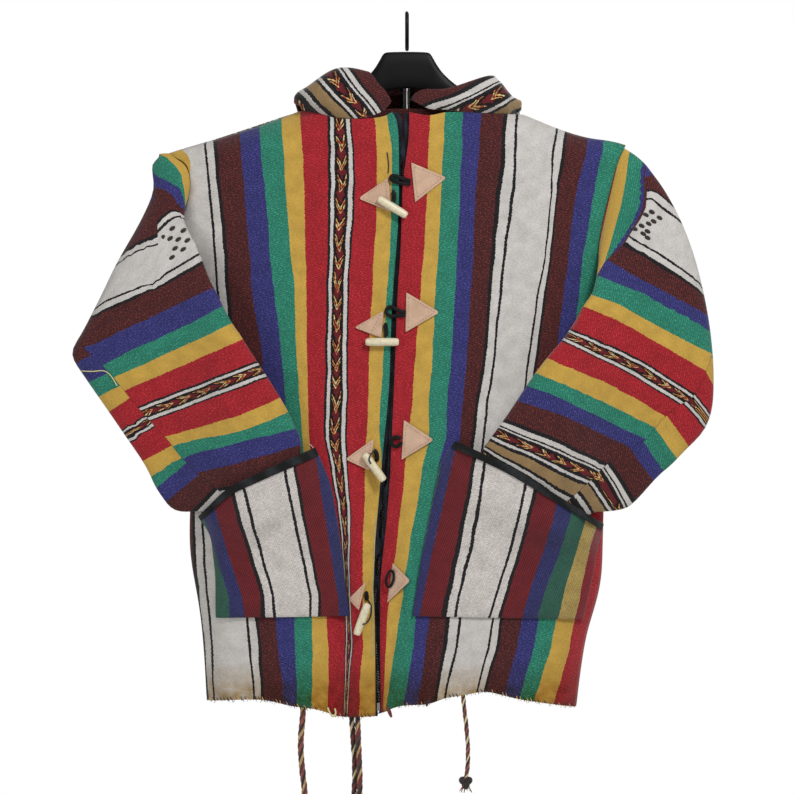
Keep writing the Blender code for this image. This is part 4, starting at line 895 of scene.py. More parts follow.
def place_in_repeat(node, cloth):
    ragged, wander = shake(node, cloth, 2.6, 2.2), shake(node, cloth, 38.0, 4.0)
    shaken = node("Math", cloth[0], node("Math", ragged, wander, operation="ADD"), operation="ADD")
    return node("Math", shaken, HALF_REPEAT, operation="PINGPONG")


def repeat_colours(node, place, late, colours):
    """A ramp is read in 256 steps, too coarse for thin stripes, so the repeat is shared by two."""
    halves = []
    for low, high in ((0, RAMP_SPLIT), (RAMP_SPLIT, HALF_REPEAT)):
        before = [(0.0, colours[key]) for start, key in REPEAT if start < low][-1:]
        stops = [((start - low) / (high - low), colours[key]) for start, key in REPEAT if low <= start < high]
        way = node("Math", place, low, operation="SUBTRACT")
        share = node("Math", way, high - low, operation="DIVIDE")
        halves.append(node("ValToRGB", share, stops=before + stops, hard=True))
    return node("Mix", {0: late, 6: halves[0], 7: halves[1]}, data_type="RGBA", output=2)


print("the ramps meet at", RAMP_SPLIT, "mm")

# %% [markdown]
# Two dark bands of each repeat have woven figures: long red lozenges, one after another, with pale
# slanted strokes between them. They are worked out by a rule from how far a point is off the band's
# middle and how far along its own figure it is, and noise keeps any two of them from being alike.

# %% Woven figures in the dark bands
# middle and half width of each band, and the length of one figure, in mm
BANDS = ((174, 6.2), (337, 7.6))
FIGURE = 25.0
STROKE = 1.7
STROKES_APART = 6.0
STEEP_STROKE = 15.0


def woven_figures(node, cloth, place, late):
    """Where the bands are, and the colour of their figures."""
    off = [node("Math", node("Math", place, middle, operation="SUBTRACT"), half, operation="DIVIDE")
           for middle, half in BANDS]
    off_middle = node("Mix", {0: late, 2: off[0], 3: off[1]}, data_type="FLOAT")
    height = node("Math", off_middle, operation="ABSOLUTE")
    in_band = node("Math", height, 1.0, operation="LESS_THAN")

    # way runs from minus to plus half a figure along each one
    turns = node("Math", node("Math", cloth[1], FIGURE, operation="DIVIDE"),
                 shake(node, cloth, 46.0, 0.7, 0.0), operation="ADD")
    turn = node("Math", node("Math", turns, operation="FRACT"), 0.5, operation="SUBTRACT")
    way = node("Math", turn, FIGURE, operation="MULTIPLY")

    # a lozenge is widest where one figure meets the next
    from_widest = node("Math", FIGURE / 2, node("Math", way, operation="ABSOLUTE"), operation="SUBTRACT")
    narrower = node("Math", from_widest, 0.07, operation="MULTIPLY")
    half_width = node("Math", 0.78, narrower, operation="SUBTRACT")
    ragged = node("Math", height, shake(node, cloth, 3.0, 0.8), operation="ADD")
    lozenge = node("Math", half_width, ragged, operation="GREATER_THAN")

    # two strokes lean outwards from the middle, and the second one comes and goes
    lopsided = node("Math", soft(node, cloth, 16.0, 0.0), 0.45, operation="SUBTRACT")
    skew = node("Math", node("Math", off_middle, lopsided, operation="ADD"), operation="ABSOLUTE")
    rise = node("Math", node("Math", skew, STEEP_STROKE, operation="MULTIPLY"), 6.0, operation="SUBTRACT")
    slope = node("Math", way, rise, operation="ADD")
    further = node("Math", slope, STROKES_APART, operation="SUBTRACT")
    thin = node("Math", soft(node, cloth, 30.0, 0.0), 2.6, operation="MULTIPLY")
    first = node("Math", node("Math", slope, operation="ABSOLUTE"), STROKE, operation="LESS_THAN")
    second = node("Math", node("Math", further, operation="ABSOLUTE"), thin, operation="LESS_THAN")
    strokes = node("Math", first, second, operation="MAXIMUM")
    pale = node("Math", strokes, node("Math", height, 0.82, operation="LESS_THAN"), operation="MULTIPLY")

    red = node("Mix", {0: lozenge, 6: linear("#120E10"), 7: linear("#5E1A20")}, data_type="RGBA", output=2)
    flame = node("ValToRGB", soft(node, cloth, 5.0, 1.0), hard=True,
                 stops=((0.0, "#A0482C"), (0.44, "#C08A48"), (0.55, "#CDB888")))
    return in_band, node("Mix", {0: pale, 6: red, 7: flame}, data_type="RGBA", output=2)


print("a figured band is", 2 * BANDS[0][1], "mm wide, the other", 2 * BANDS[1][1])

# %% [markdown]
# The weft's threads make a slanted grain, longer along the slant than across it, and shallow rows.
# Weft threads lie about 0.7 mm apart, which is too fine to show, so the grain is drawn at 1.1 mm, and
# at 1.6 mm on the other face, where a second set of rows breaks it into dots.

# %% Slanted grain
ROWS = 2 * math.pi / 2.9


def along_weft(node, weft, across_by, along_by):
    """A place on the cloth measured in a slanted way."""
    return node("VectorMath", weft, (across_by, along_by, 0.0), operation="DOT_PRODUCT", output="Value")


def slanted_grain(node, grain_mm, other_face):
    """The grain, the grain with its rows, and how much of the fleck shows."""
    sides = [node("Attribute", attribute_name=key, output="Fac") for key in ("weft_across", "weft_along")]
    weft = node("CombineXYZ", *sides, 0.0)
    slanted = node("CombineXYZ", along_weft(node, weft, 0.40 / grain_mm, 0.15 / grain_mm),
                   along_weft(node, weft, -0.34 / grain_mm, 0.94 / grain_mm), 0.0)
    grain = node("TexNoise", {"Vector": slanted, "Scale": 1.0, "Detail": 2.0, "Roughness": 0.6})
    rows = node("Math", along_weft(node, weft, -0.36 * ROWS, ROWS), operation="SINE")
    ribbed = node("Math", grain, node("Math", rows, 0.05, operation="MULTIPLY"), operation="ADD")
    if not other_face:
        return grain, ribbed, node("MapRange", ribbed, 0.52, 0.72)
    ribs = node("Math", along_weft(node, weft, ROWS, 0.55 * ROWS), operation="SINE")
    level = node("Math", along_weft(node, weft, 0.0, ROWS), operation="SINE")
    dots = node("Math", node("Math", ribs, level, operation="MULTIPLY"),
                node("Math", grain, 0.9, operation="MULTIPLY"), operation="ADD")
    return grain, ribbed, node("MapRange", dots, 0.5, 1.1)


print("rows are", round(2 * math.pi / ROWS, 2), "mm apart")

# %% [markdown]
# The wool is put together from these parts: the stripes' colours with the figures over them, flecks by
# the grain with painted shade on its ribs, darker yellowish patches towards the hem, and a dark line in each
# sleeve's seam. Raw wool takes light like felt, so it is rough, with a weak sheen, and its threads are
# raised.

# %% The finished wool
CONTRAST = 0.3
SEAM_HALF = 0.6


def striped_wool(name, colours, grain_mm, other_face=False):
    made, tree, shader = start_material(name, Roughness=0.96, Specular_IOR_Level=0.18, Sheen_Weight=0.16,
                                        Sheen_Roughness=0.5)
    node = partial(add, tree)
    keys = ("stripe", "stripe_beyond", "beyond_seam", "along", "off_seam", "soil")
    stripe, stripe_beyond, seam_side, along, off_seam, toward_hem = (
        node("Attribute", attribute_name=key, output="Fac") for key in keys)
    beyond = node("Math", seam_side, 0.0, operation="GREATER_THAN")
    cloth = node("Mix", {0: beyond, 2: stripe, 3: stripe_beyond}, data_type="FLOAT"), along
    place = place_in_repeat(node, cloth)
    late = node("Math", place, RAMP_SPLIT, operation="GREATER_THAN")
    in_band, figure = woven_figures(node, cloth, place, late)
    ground, fleck = (
        node("Mix", {0: in_band, 6: repeat_colours(node, place, late, picked), 7: figure},
             data_type="RGBA", output=2)
        for picked in ({key: pair[k] for key, pair in colours.items()} for k in range(2)))

    grain, ribbed, share = slanted_grain(node, grain_mm, other_face)
    flecked = node("Mix", {0: share, 6: ground, 7: fleck}, data_type="RGBA", output=2)
    # the cloth turns darker and yellowish in patches towards the hem
    patches = node("Math", soft(node, cloth, 11.0, 3.0), 1.5, operation="MULTIPLY")
    soil = node("Math", toward_hem, patches, operation="MULTIPLY")
    hem_darkened = node("Mix", {0: soil, 6: flecked, 7: linear("#C2A468")}, data_type="RGBA", blend_type="MULTIPLY",
                output=2)
    shade = node("MapRange", ribbed, 0.3, 0.7, 1 - CONTRAST, 1 + CONTRAST * 0.6)
    mottle = node("MapRange", soft(node, cloth, 17.0, 3.0), 0.3, 0.7, 0.88, 1.1)
    in_seam = node("Math", node("Math", off_seam, operation="ABSOLUTE"), SEAM_HALF, operation="LESS_THAN")
    seam_shade = node("Math", 1.0, node("Math", in_seam, 0.25, operation="MULTIPLY"), operation="SUBTRACT")
    light = node("Math", node("Math", shade, mottle, operation="MULTIPLY"), seam_shade, operation="MULTIPLY")
    colour = node("VectorMath", {0: hem_darkened, "Scale": light}, operation="SCALE")

    fuzz = node("Math", soft(node, cloth, 1.3), 0.5, operation="MULTIPLY")
    sunk = node("Math", in_seam, 1.2, operation="MULTIPLY")
    raised = node("Math", node("Math", grain, fuzz, operation="ADD"), sunk, operation="SUBTRACT")
    cover(tree, shader, colour, raised, 0.55, 0.7)
    return made


wool = striped_wool("blanket_wool", FACE, 1.1)
wool_reverse = striped_wool("blanket_wool_other_face", OTHER_FACE, 1.6, other_face=True)
print("nodes in the wool:", len(wool.node_tree.nodes))

# %% [markdown]
# ## Panels of the body
# Each front is one panel, cut straight from the blanket with its stripes upright. The back is another.
# The stripe numbers are stored on the points of the softened copy, so they go wherever it goes. A
# seam's line is kept as a distance from it, above zero on the side beyond the seam.

# %% Store stripe numbers on a piece


def store(piece, key, values):
    layer = piece.data.attributes.new(key, "FLOAT", "POINT")
    layer.data.foreach_set("value", np.asarray(values, np.float32))


def store_stripes(piece, stripe, along, stripe_beyond=None, beyond=None, seam=None, lie=90):
    """lie is the way that the stripes run, in degrees from level, for the grain."""
    store(piece, "stripe", stripe)
    store(piece, "along", along)
    store(piece, "stripe_beyond", stripe if stripe_beyond is None else stripe_beyond)
    store(piece, "beyond_seam", np.full(len(stripe), -100.0) if beyond is None else beyond)
    store(piece, "off_seam", np.full(len(stripe), 100.0) if seam is None else seam)
    co = places_of(piece) / MM
    way = np.array((math.cos(math.radians(lie)), math.sin(math.radians(lie))))
    store(piece, "weft_along", co[:, 0] * way[0] + co[:, 2] * way[1])
    store(piece, "weft_across", co[:, 0] * way[1] - co[:, 2] * way[0])


def ease(share):
    """A share from 0 to 1, with a soft start and a soft end."""
    return share * share * (3 - 2 * share)


print("a quarter of the way, eased:", ease(0.25))

# %% Distance from a seam line, above zero beyond it


def seam_distance(line, flat, beyond_spot):
    path = np.array([spot(*p) for p in line])

    def signed(places):
        best = np.full(len(places), 1e9)
        side = np.zeros(len(places))
        for a, b in zip(path, path[1:]):
            way = b - a
            t = np.clip(((places - a) @ way) / (way @ way), 0, 1)
            gap = places - a - t[:, None] * way
            far = np.linalg.norm(gap, axis=1)
            turn = way[0] * gap[:, 1] - way[1] * gap[:, 0]
            nearer = far < best
            best = np.where(nearer, far, best)
            side = np.where(nearer, np.sign(turn), side)
        return best * side

    sign = np.sign(signed(np.array([spot(*beyond_spot)]))[0])
    return signed(flat) * sign / MM


print("seam lines have", len(SEAM_LEFT), "and", len(SEAM_RIGHT), "points")

# %% Fronts and back
# by the left armhole the sleeve's yellow reaches over the corner, and the back's neck edge is brown
CORNER_LEFT = ((176, 140), (182, 150), (188, 155), (191, 163), (190.5, 172), (188, 184), (184, 200))
CORNER_STRIPE = 121
NECK_BACK = ((340, 117.5), (470, 117.5))
NECK_STRIPE = 300
# the widest white stripe of the back stands 150 mm to the right, and the cloth darkens from row 660 down
BACK_WHITE_X = 150
DARKER_FROM_ROW = 660
DARKER_FADE = 45
# hems are looked for below the first height, and the back is shortened from the second one down, over
# 10 cm, until it ends 3.5 mm above the fronts
HEM_BELOW = -0.78
TUCK_BELOW = -0.74
TUCK_OVER = 0.10
TUCK = 3.5


def hem_line(piece, marks):
    """Height of a panel's lowest edge at each x."""
    co = places_of(piece)
    co = co[co[:, 2] < HEM_BELOW]
    heights = []
    for mark in marks:
        near = co[np.abs(co[:, 0] - mark) < 5 * MM]
        heights.append(near[:, 2].min() if len(near) else np.nan)
    heights = np.array(heights)
    known = ~np.isnan(heights)
    return np.interp(marks, marks[known], heights[known]) if known.any() else heights


def tuck_hem(piece, fronts):
    """Shortens a back panel so that it stays just above the hems of the fronts."""
    marks = np.linspace(-0.26, 0.22, 97)
    left, right = (hem_line(front, marks) for front in fronts)
    front_hem = np.where(marks < spot(379, 0)[0], left, right)
    lift = np.maximum(0, front_hem + TUCK * MM - hem_line(piece, marks))
    co = places_of(piece)
    low = np.clip((TUCK_BELOW - co[:, 2]) / TUCK_OVER, 0, 1)
    co[:, 2] += np.interp(co[:, 0], marks, lift) * ease(low)
    put_places(piece, co)
    print("back hem lifted by up to", round(float(lift.max()) / MM, 1), "mm")


pieces = {}
for number_of, node in enumerate(("front_left", "front_right", "back")):
    piece = soft_copy(node, node + "_cloth")
    flat = places_of(piece)
    if node == "back":
        bend = 5 * np.sin(flat[:, 2] * 14) + 3 * np.sin(flat[:, 2] * 31 + flat[:, 0] * 9)
        stripe = np.abs(flat[:, 0] / MM - BACK_WHITE_X + bend)
        along = -flat[:, 2] / MM
    else:
        values = read_chart(charts[node], flat[:, (0, 2)])
        stripe, along = values[:, 0], values[:, 1]
    other, beyond = None, None
    if node == "front_left":
        beyond = seam_distance(CORNER_LEFT, flat[:, (0, 2)], (170, 152))
        by_armhole = (flat[:, 2] > spot(0, 186)[1]) & (flat[:, 0] < spot(196, 0)[0])
        beyond = np.where(by_armhole, beyond, -20)
        other = np.full(len(stripe), CORNER_STRIPE)
    if node == "back":
        beyond = seam_distance(NECK_BACK, flat[:, (0, 2)], (400, 100))
        other = np.full(len(stripe), NECK_STRIPE)
    fold_cloth(piece, node, 3.1 * number_of)
    if node == "back":
        tuck_hem(piece, (pieces["front_left"], pieces["front_right"]))
    # the share of darkening, growing from the given row down towards the hem
    below = spot(0, DARKER_FROM_ROW)[1] - places_of(piece)[:, 2]
    store(piece, "soil", np.clip(below / (DARKER_FADE * MM), 0, 1))
    store_stripes(piece, stripe, along, other, beyond)
    pieces[node] = finish_piece(piece, node, wool)
    print(node, len(piece.data.polygons), "faces")

# %% [markdown]
# ## Sleeves
# A flattened sleeve has a front layer, which the charts show, and a back layer. At the inner fold the
# back one takes its stripes from the front layer and at the outer fold from the strip beyond the seam,
# and it blends from one to the other in between.

# %% The two sleeves
# above row 285 the second chart is the cap's, which lies over the armhole; the back layer's stripes
# are 12 mm off at the inner fold, and near the seam they turn over 45 mm into those beyond it
CAP_ROW = 285
FOLD_SHIFT = 12
TURN_OVER = 45
sleeve_folds = {"sleeve_left": (FOLD_LEFT, (170, 200)), "sleeve_right": (FOLD_RIGHT, (610, 220))}
sleeve_seams = {"sleeve_left": (SEAM_LEFT, (100, 400)), "sleeve_right": (SEAM_RIGHT, (700, 430))}
for number_of, node in enumerate(("sleeve_left", "sleeve_right")):
    piece = soft_copy(node, node + "_cloth")
    co = places_of(piece)
    flat = co[:, (0, 2)]
    own, outer, cap = (read_chart(charts[node + end], flat) for end in ("", "_beyond", "_cap"))
    seam = seam_distance(sleeve_seams[node][0], flat, sleeve_seams[node][1])
    fold, inside = sleeve_folds[node]
    on_cap = flat[:, 1] > spot(0, CAP_ROW)[1]
    if node == "sleeve_right":
        on_cap &= flat[:, 0] < spot(668, 0)[0]
    strip = np.where(on_cap[:, None], cap, outer)
    beyond = np.where(on_cap, seam_distance(fold, flat, inside), seam)
    tree = BVHTree.FromPolygons([v.co for v in piece.data.vertices],
                                [tuple(p.vertices) for p in piece.data.polygons])
    middle = []
    for x, y, z in co:
        front = tree.ray_cast(Vector((x, -0.4, z)), Vector((0, 1, 0)))[0]
        behind = tree.ray_cast(Vector((x, 0.4, z)), Vector((0, -1, 0)))[0]
        middle.append((front.y + behind.y) / 2 if front and behind else y)
    is_back = co[:, 1] > np.array(middle) + 0.2 * MM
    share = ease(own[:, 2] if node == "sleeve_left" else 1 - own[:, 2])
    near_seam = ease(np.clip((seam + TURN_OVER) / TURN_OVER, 0, 1))
    around = own[:, 0] + FOLD_SHIFT + near_seam * (outer[:, 0] - own[:, 0] - FOLD_SHIFT)
    blended = around * (1 - share) + own[:, 0] * share
    stripe = np.where(is_back, blended, own[:, 0])
    stripe_beyond = np.where(is_back, blended, strip[:, 0])
    fold_cloth(piece, node, 11.7 + 4 * number_of, outward_only=True)
    lie = 27 if node == "sleeve_left" else -31
    store_stripes(piece, stripe, own[:, 1], stripe_beyond, beyond, np.where(on_cap, 100, seam), lie)
    pieces[node] = finish_piece(piece, node, wool)
    print(node, len(piece.data.polygons), "faces,", int(is_back.sum()), "points in the back layer")

# %% [markdown]
# ## Hood and pockets
# The hood is two halves, seamed over the crown. The pockets are plain patches with their other face
# out, drawn over the cuffs that are tucked into them.

# %% Hood halves
for number_of, node in enumerate(("hood_left", "hood_right")):
    piece = soft_copy(node, node + "_cloth")
    flat = places_of(piece)[:, (0, 2)]
    faces_back = np.array([vertex.normal.y > 0 for vertex in piece.data.vertices])[:, None]
    values = np.where(faces_back, read_chart(charts[node + "_back"], flat), read_chart(charts[node], flat))
    stripe, along = values[:, 0], values[:, 1]
    fold_cloth(piece, node, 21.3 + 5 * number_of)
    store_stripes(piece, stripe, along)
    pieces[node] = finish_piece(piece, node, wool)
    print(node, "stripe numbers from", round(float(stripe.min())), "to", round(float(stripe.max())))

# %% Pockets
for number_of, node in enumerate(("pocket_left", "pocket_right")):
    piece = soft_copy(node, node + "_cloth")
    values = read_chart(charts[node], places_of(piece)[:, (0, 2)])
    fold_cloth(piece, node, 31.9 + 5 * number_of, outward_only=True)
    store_stripes(piece, values[:, 0], values[:, 1])
    pieces[node] = finish_piece(piece, node, wool_reverse)
    print(node, len(piece.data.polygons), "faces")

# %% [markdown]
# ## Trims
# The suede triangles, bone toggles, black cords, bindings and zip tapes keep the solids' shapes and
# only need rounding. The fronts have been folded a little since, so each piece that lies on a front is
# moved by that front's creases.

# %% Materials of the trims


def spots(tree, to_the_metre, detail):
    """Soft spots fixed to the piece, about so many to the metre."""
    place = add(tree, "TexCoord", output="Object")
    return add(tree, "TexNoise", {"Vector": place, "Scale": to_the_metre, "Detail": detail})


def suede():
    """Napped split leather: the nap lies in soft patches, lighter and darker."""
    made, tree, shader = start_material("napped_suede", Roughness=0.94, Specular_IOR_Level=0.15,
                                        Sheen_Weight=0.3, Sheen_Roughness=0.6)
    tone = add(tree, "ValToRGB", spots(tree, 70.0, 3.0), stops=((0.3, "#B3937B"), (0.7, "#C4A48C")))
    nap = spots(tree, 900.0, 2.0)
    grain = add(tree, "MapRange", nap, 0.3, 0.7, 0.86, 1.06)
    cover(tree, shader, add(tree, "VectorMath", {0: tone, "Scale": grain}, operation="SCALE"), nap, 0.4, 0.4)
    return made


def bone():
    """Cut and polished bone: cream with faint mottling and a soft gloss."""
    made, tree, shader = start_material("polished_bone", Roughness=0.38, IOR=1.5, Subsurface_Weight=0.08,
                                        Subsurface_Scale=0.003)
    mottling = spots(tree, 220.0, 3.0)
    colour = add(tree, "ValToRGB", mottling, stops=((0.3, "#C4B998"), (0.5, "#CFC6A8"), (0.7, "#D8D1B8")))
    cover(tree, shader, colour, mottling, 0.12, 0.5)
    return made


def black_weave(name, low, high, bands_mm, roughness):
    """Narrow woven or braided black. Its ribs are 1 or 2 mm wide, too fine for this picture, so the
    light that they catch is painted into the colour as soft bands of sheen, some centimetres apart."""
    made, tree, shader = start_material(name, Roughness=roughness, Specular_IOR_Level=0.25, Sheen_Weight=0.04)
    scale = 200 * math.pi / bands_mm
    bands = add(tree, "TexWave", {"Vector": add(tree, "TexCoord", output="Object"), "Scale": scale,
                                  "Distortion": 2.0, "Detail": 1.0}, bands_direction="DIAGONAL")
    # painted sheen: lighter bands in the colour where the ribs would catch the light
    light = add(tree, "Math", bands, spots(tree, 160.0, 3.0), operation="MULTIPLY")
    cover(tree, shader, add(tree, "ValToRGB", light, stops=((0.1, low), (0.6, high))), bands, 0.5, 0.4)
    return made


def moulded_plastic():
    """Injection-moulded polypropylene: even, nearly black, with a soft moulded gloss."""
    made, tree, shader = start_material("moulded_polypropylene", Roughness=0.5, IOR=1.49,
                                        Specular_IOR_Level=0.2)
    scuffs = spots(tree, 45.0, 5.0)
    colour = add(tree, "ValToRGB", scuffs, stops=((0.35, "#020203"), (0.75, "#060709")))
    cover(tree, shader, colour, scuffs, 0.06, 0.5)
    return made


leather, bone_finish, plastic = suede(), bone(), moulded_plastic()
binding_braid = black_weave("braided_binding", "#0A0B0C", "#222527", 44, 0.85)
thin_cord = black_weave("braided_cord", "#040405", "#121214", 24, 0.8)
zip_tape = black_weave("woven_zip_tape", "#0C1018", "#1E2430", 32, 0.85)
trim_finishes = (leather, bone_finish, plastic, binding_braid, thin_cord, zip_tape)
print("trim materials:", [finish.name for finish in trim_finishes])

# %% Round the trims
# start of a node's name: material, slot, crease of its rims, and how narrow a rim is in mm
TRIMS = {
    "patch_": (leather, "suede", 0.9, 3.0), "toggle_cord": (thin_cord, "black_cord", 0, 0),
    "loop_cord": (thin_cord, "black_cord", 0, 0), "toggle_": (bone_finish, "bone", 0, 0),
    "binding_": (binding_braid, "black_braid", 0.6, 2.0), "zip_tape_": (zip_tape, "black_braid", 0.6, 2.0),
    "hanger_bar": (plastic, "black_plastic", 0.35, 9.0), "hanger_hook": (plastic, "black_plastic", 0, 0),
}
# the fronts meet at x = -6 mm; a tape is widened by 6 mm at most
FRONTS_MEET = -6
WIDEN = 6


def tape_gap(co, z):
    """Half of the open gap between the two zip tapes at each height, less half a millimetre."""
    other = [places_of(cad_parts["zip_tape_" + side]) for side in ("left", "right")]
    marks = np.linspace(-0.88, -0.12, 60)
    gaps = []
    for mark in marks:
        near = [o[np.abs(o[:, 2] - mark) < 12 * MM][:, 0] for o in other]
        gaps.append(near[1].min() - near[0].max() if len(near[0]) and len(near[1]) else 0.0)
    half = np.interp(z, marks, gaps) / 2 - 0.5 * MM
    return np.clip(half, 0, WIDEN * MM)


for node in sorted(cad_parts):
    kind = next((key for key in TRIMS if node.startswith(key)), None)
    if kind is None or node == "loop_cord_4":
        continue
    material, slot, crease, rim = TRIMS[kind]
    levels = 1 if "cord" in node or "hook" in node else 2
    piece = soft_copy(node, node + "_trim", levels, crease, rim * MM)
    co = places_of(piece)
    middle = co.mean(axis=0)
    under = CREASES["front_left" if middle[0] < FRONTS_MEET * MM else "front_right"]
    if kind == "zip_tape_":
        co[:, 1] += crease_push(CREASES["front_" + node[9:]], co[:, 0], co[:, 2])
    if kind == "patch_":
        co[:, 1] += crease_push(under, co[:, 0], co[:, 2]) - 0.5 * MM
    if kind in ("toggle_cord", "loop_cord", "toggle_"):
        co[:, 1] += crease_push(under, middle[:1], middle[2:])
    if "cord" in kind:
        fatter = 1.0 if "loop" in kind else 1.3
        co += np.array([tuple(vertex.normal) for vertex in piece.data.vertices]) * fatter * MM
    if kind == "zip_tape_":
        line = np.zeros(len(co))
        for part in np.array_split(np.argsort(co[:, 2]), 70):
            line[part] = (co[part, 0].min() + co[part, 0].max()) / 2
        inward = 1 if node.endswith("left") else -1
        at_gap = (co[:, 0] - line) * inward > 0
        co[:, 0] += inward * at_gap * tape_gap(co, co[:, 2])
    put_places(piece, co)
    pieces[node] = finish_piece(piece, node, material)
print("pieces so far:", len(pieces))

# %% [markdown]
# ## The last loop, the zip and small sewing
# These pieces are too small for the solids. The fourth loop lies closed on its patch, so its visual
# piece is one ring of cord. The zip's teeth are one bevelled block, copied up both tapes. Stitches,
# woven dots and frayed ends are short, thin tubes laid on the finished cloth by casting rays at it.

# %% One tooth, copied along both tapes
TOOTH_STEP = 3.2


def bevelled_block(name, size_mm, bevel_mm, segments):
    bpy.ops.object.select_all(action="DESELECT")
    bpy.ops.mesh.primitive_cube_add(size=1.0, location=(0, 0, 0))
    block = bpy.context.object
    block.name = name
    bpy.ops.object.mode_set(mode="EDIT")
    bpy.ops.mesh.select_all(action="SELECT")
    bpy.ops.transform.resize(value=[side * MM for side in size_mm])
    bpy.ops.mesh.bevel(offset=bevel_mm * MM, segments=segments)
    bpy.ops.object.mode_set(mode="OBJECT")
    return block


tooth = bevelled_block("tooth", (2.8, 1.8, 1.4), 0.3, 1)
tooth_points = np.array([tuple(v.co) for v in tooth.data.vertices])
tooth_faces = [tuple(p.vertices) for p in tooth.data.polygons]
bpy.data.objects.remove(tooth)
for side, shift in (("left", 0.0), ("right", TOOTH_STEP / 2)):
    tape = places_of(pieces["zip_tape_" + side])
    marks, rims = np.linspace(tape[:, 2].min(), tape[:, 2].max(), 60), []
    for mark in marks:
        near = tape[np.abs(tape[:, 2] - mark) < 14 * MM]
        edge = near[:, 0].max() if side == "left" else near[:, 0].min()
        rims.append((edge, near[np.abs(near[:, 0] - edge) < 1.5 * MM][:, 1].mean()))
    rims = np.array(rims)
    points, faces = [], []
    for z in np.arange(marks[0] / MM + 4 + shift, marks[-1] / MM - 4, TOOTH_STEP) * MM:
        place = np.array((np.interp(z, marks, rims[:, 0]), np.interp(z, marks, rims[:, 1]), z))
        start = len(points)
        points += [tuple(p + place) for p in tooth_points]
        faces += [tuple(start + k for k in face) for face in tooth_faces]
    teeth = put_piece("zip_teeth_" + side, points, faces, [plastic], smooth=False)
    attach(teeth, "root")
    print(teeth.name, len(faces), "faces")

# %% The pale stop at the zip's lower end
stop = bevelled_block("zip_end", (4.6, 2.6, 10), 0.6, 2)
stop_x, stop_z = spot(378.6, 706)
stop.data.transform(Matrix.Translation((stop_x, rims[0][1], stop_z)))
stop_metal, _, _ = start_material("tinned_brass", Base_Color=linear("#8F8D86"), Roughness=0.45, Metallic=0.7)
stop.data.materials.append(stop_metal)
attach(stop, "root")
print("zip end at", round(stop_x / MM), round(stop_z / MM))

# %% [markdown]
# Sewing is laid on the cloth like stickers. At each place that was read on the picture, a ray goes
# straight in from the front, or from behind for the back's hem. Where it meets the cloth, a point of
# the thread is put, a little above it. So a thread follows the creases, and its numbers stay flat.

# %% Threads laid on a surface


def rays_at(*below):
    """One ray-cast tree of some pieces together."""
    points, faces = [], []
    for piece in below:
        start = len(points)
        points += [vertex.co for vertex in piece.data.vertices]
        faces += [tuple(start + k for k in face.vertices) for face in piece.data.polygons]
    return BVHTree.FromPolygons(points, faces)


def lay(tree, across, down, lift, behind=False):
    """The place on a surface under a spot of the picture, lifted off it by some mm."""
    x, z = spot(across, down)
    far, way = (0.4, -1) if behind else (-0.4, 1)
    hit = tree.ray_cast(Vector((x, far, z)), Vector((0, way, 0)))[0]
    return None if hit is None else np.array(hit) - np.array((0, way * lift * MM, 0))


def thread(batch, places, radius, finish, sides, taper=True, flat=1.0):
    """Adds a short tube through places in metres to a batch of points, faces and finish numbers.
    The radius is in mm, and flat presses the tube against the cloth."""
    if any(place is None for place in places):
        return
    points, faces, index = batch
    count, start = len(places), len(points)
    profile = np.sin(np.linspace(0.3, math.pi - 0.3, count)) ** 0.6 if taper else np.ones(count)
    add_tube(points, faces, np.array(places), radius * MM * profile, sides)
    for number_of, (x, y, z) in enumerate(points[start:]):
        middle = places[number_of // sides][1]
        points[start + number_of] = (x, middle + (y - middle) * flat, z)
    index += [finish] * (len(faces) - len(index))


def put_threads(name, batch, finishes):
    points, faces, index = batch
    made = put_piece(name, points, faces, finishes)
    made.data.polygons.foreach_set("material_index", index)
    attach(made, "root")
    print(name, len(faces), "faces")


print("cloth under the place 300, 400:", lay(rays_at(pieces["front_left"]), 300, 400, 0).round(4))

# %% The closed loop
RING_POINTS = 42
turns = np.linspace(0.2, 2 * math.pi + 0.3, RING_POINTS)
ring_x, ring_z = spot(390, 578)
ring = np.stack([ring_x + (3.6 * np.cos(turns) + 1.3 * np.sin(turns)) * UNIT, np.zeros(RING_POINTS),
                 ring_z + 8 * UNIT * np.sin(turns)], axis=1)
below = rays_at(pieces["front_right"], pieces["patch_right_4"])
nearest = min(below.ray_cast(Vector((x, -0.4, z)), Vector((0, 1, 0)))[0].y for x, _, z in ring)
ring[:, 1] = nearest - np.linspace(0.6, 2.2, RING_POINTS) * MM
points, faces = [], []
add_tube(points, faces, ring, np.full(RING_POINTS, 1.7 * MM), 10)
closed_loop = put_piece("loop_cord_4_ring", points, faces, [thin_cord])
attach(closed_loop, "root")
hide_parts("loop_cord_4")
print("closed loop:", len(faces), "faces")

# %% Black dots woven into the sleeves
# a dot reaches 3 units both ways from its centre; each sleeve has the way they lean, and their centres
HALF_DOT = 3.0
DOTS = {
    "sleeve_left": ((0.8, -0.6), ((173, 229), (184, 231), (163, 238), (171, 239), (179, 240), (188, 241),
                                  (176, 249), (184, 250), (173, 258))),
    "sleeve_right": ((0.87, 0.5), ((651, 212.6), (645, 215.6), (658.6, 218.5), (652.7, 222),
                                   (647.7, 224.4), (640.7, 226.5), (633.5, 229.2), (646.6, 232),
                                   (642.3, 234.4), (646.6, 238.4))),
}
for node, (lean, centres) in DOTS.items():
    tree, batch = rays_at(pieces[node]), ([], [], [])
    for across, down in centres:
        marks = [(across + lean[0] * t, down + lean[1] * t) for t in np.linspace(-HALF_DOT, HALF_DOT, 5)]
        laid = [place for place in (lay(tree, *mark, 0.35) for mark in marks) if place is not None]
        if len(laid) > 2:
            thread(batch, laid, 2.7, 0, 8, flat=0.3)
    put_threads("woven_dots_" + node[7:], batch, [yarns["dark"]])

# %% Stitches round the suede patches
sewing = spun_yarn("sewing_thread", "#8E5A48", "#A87660")
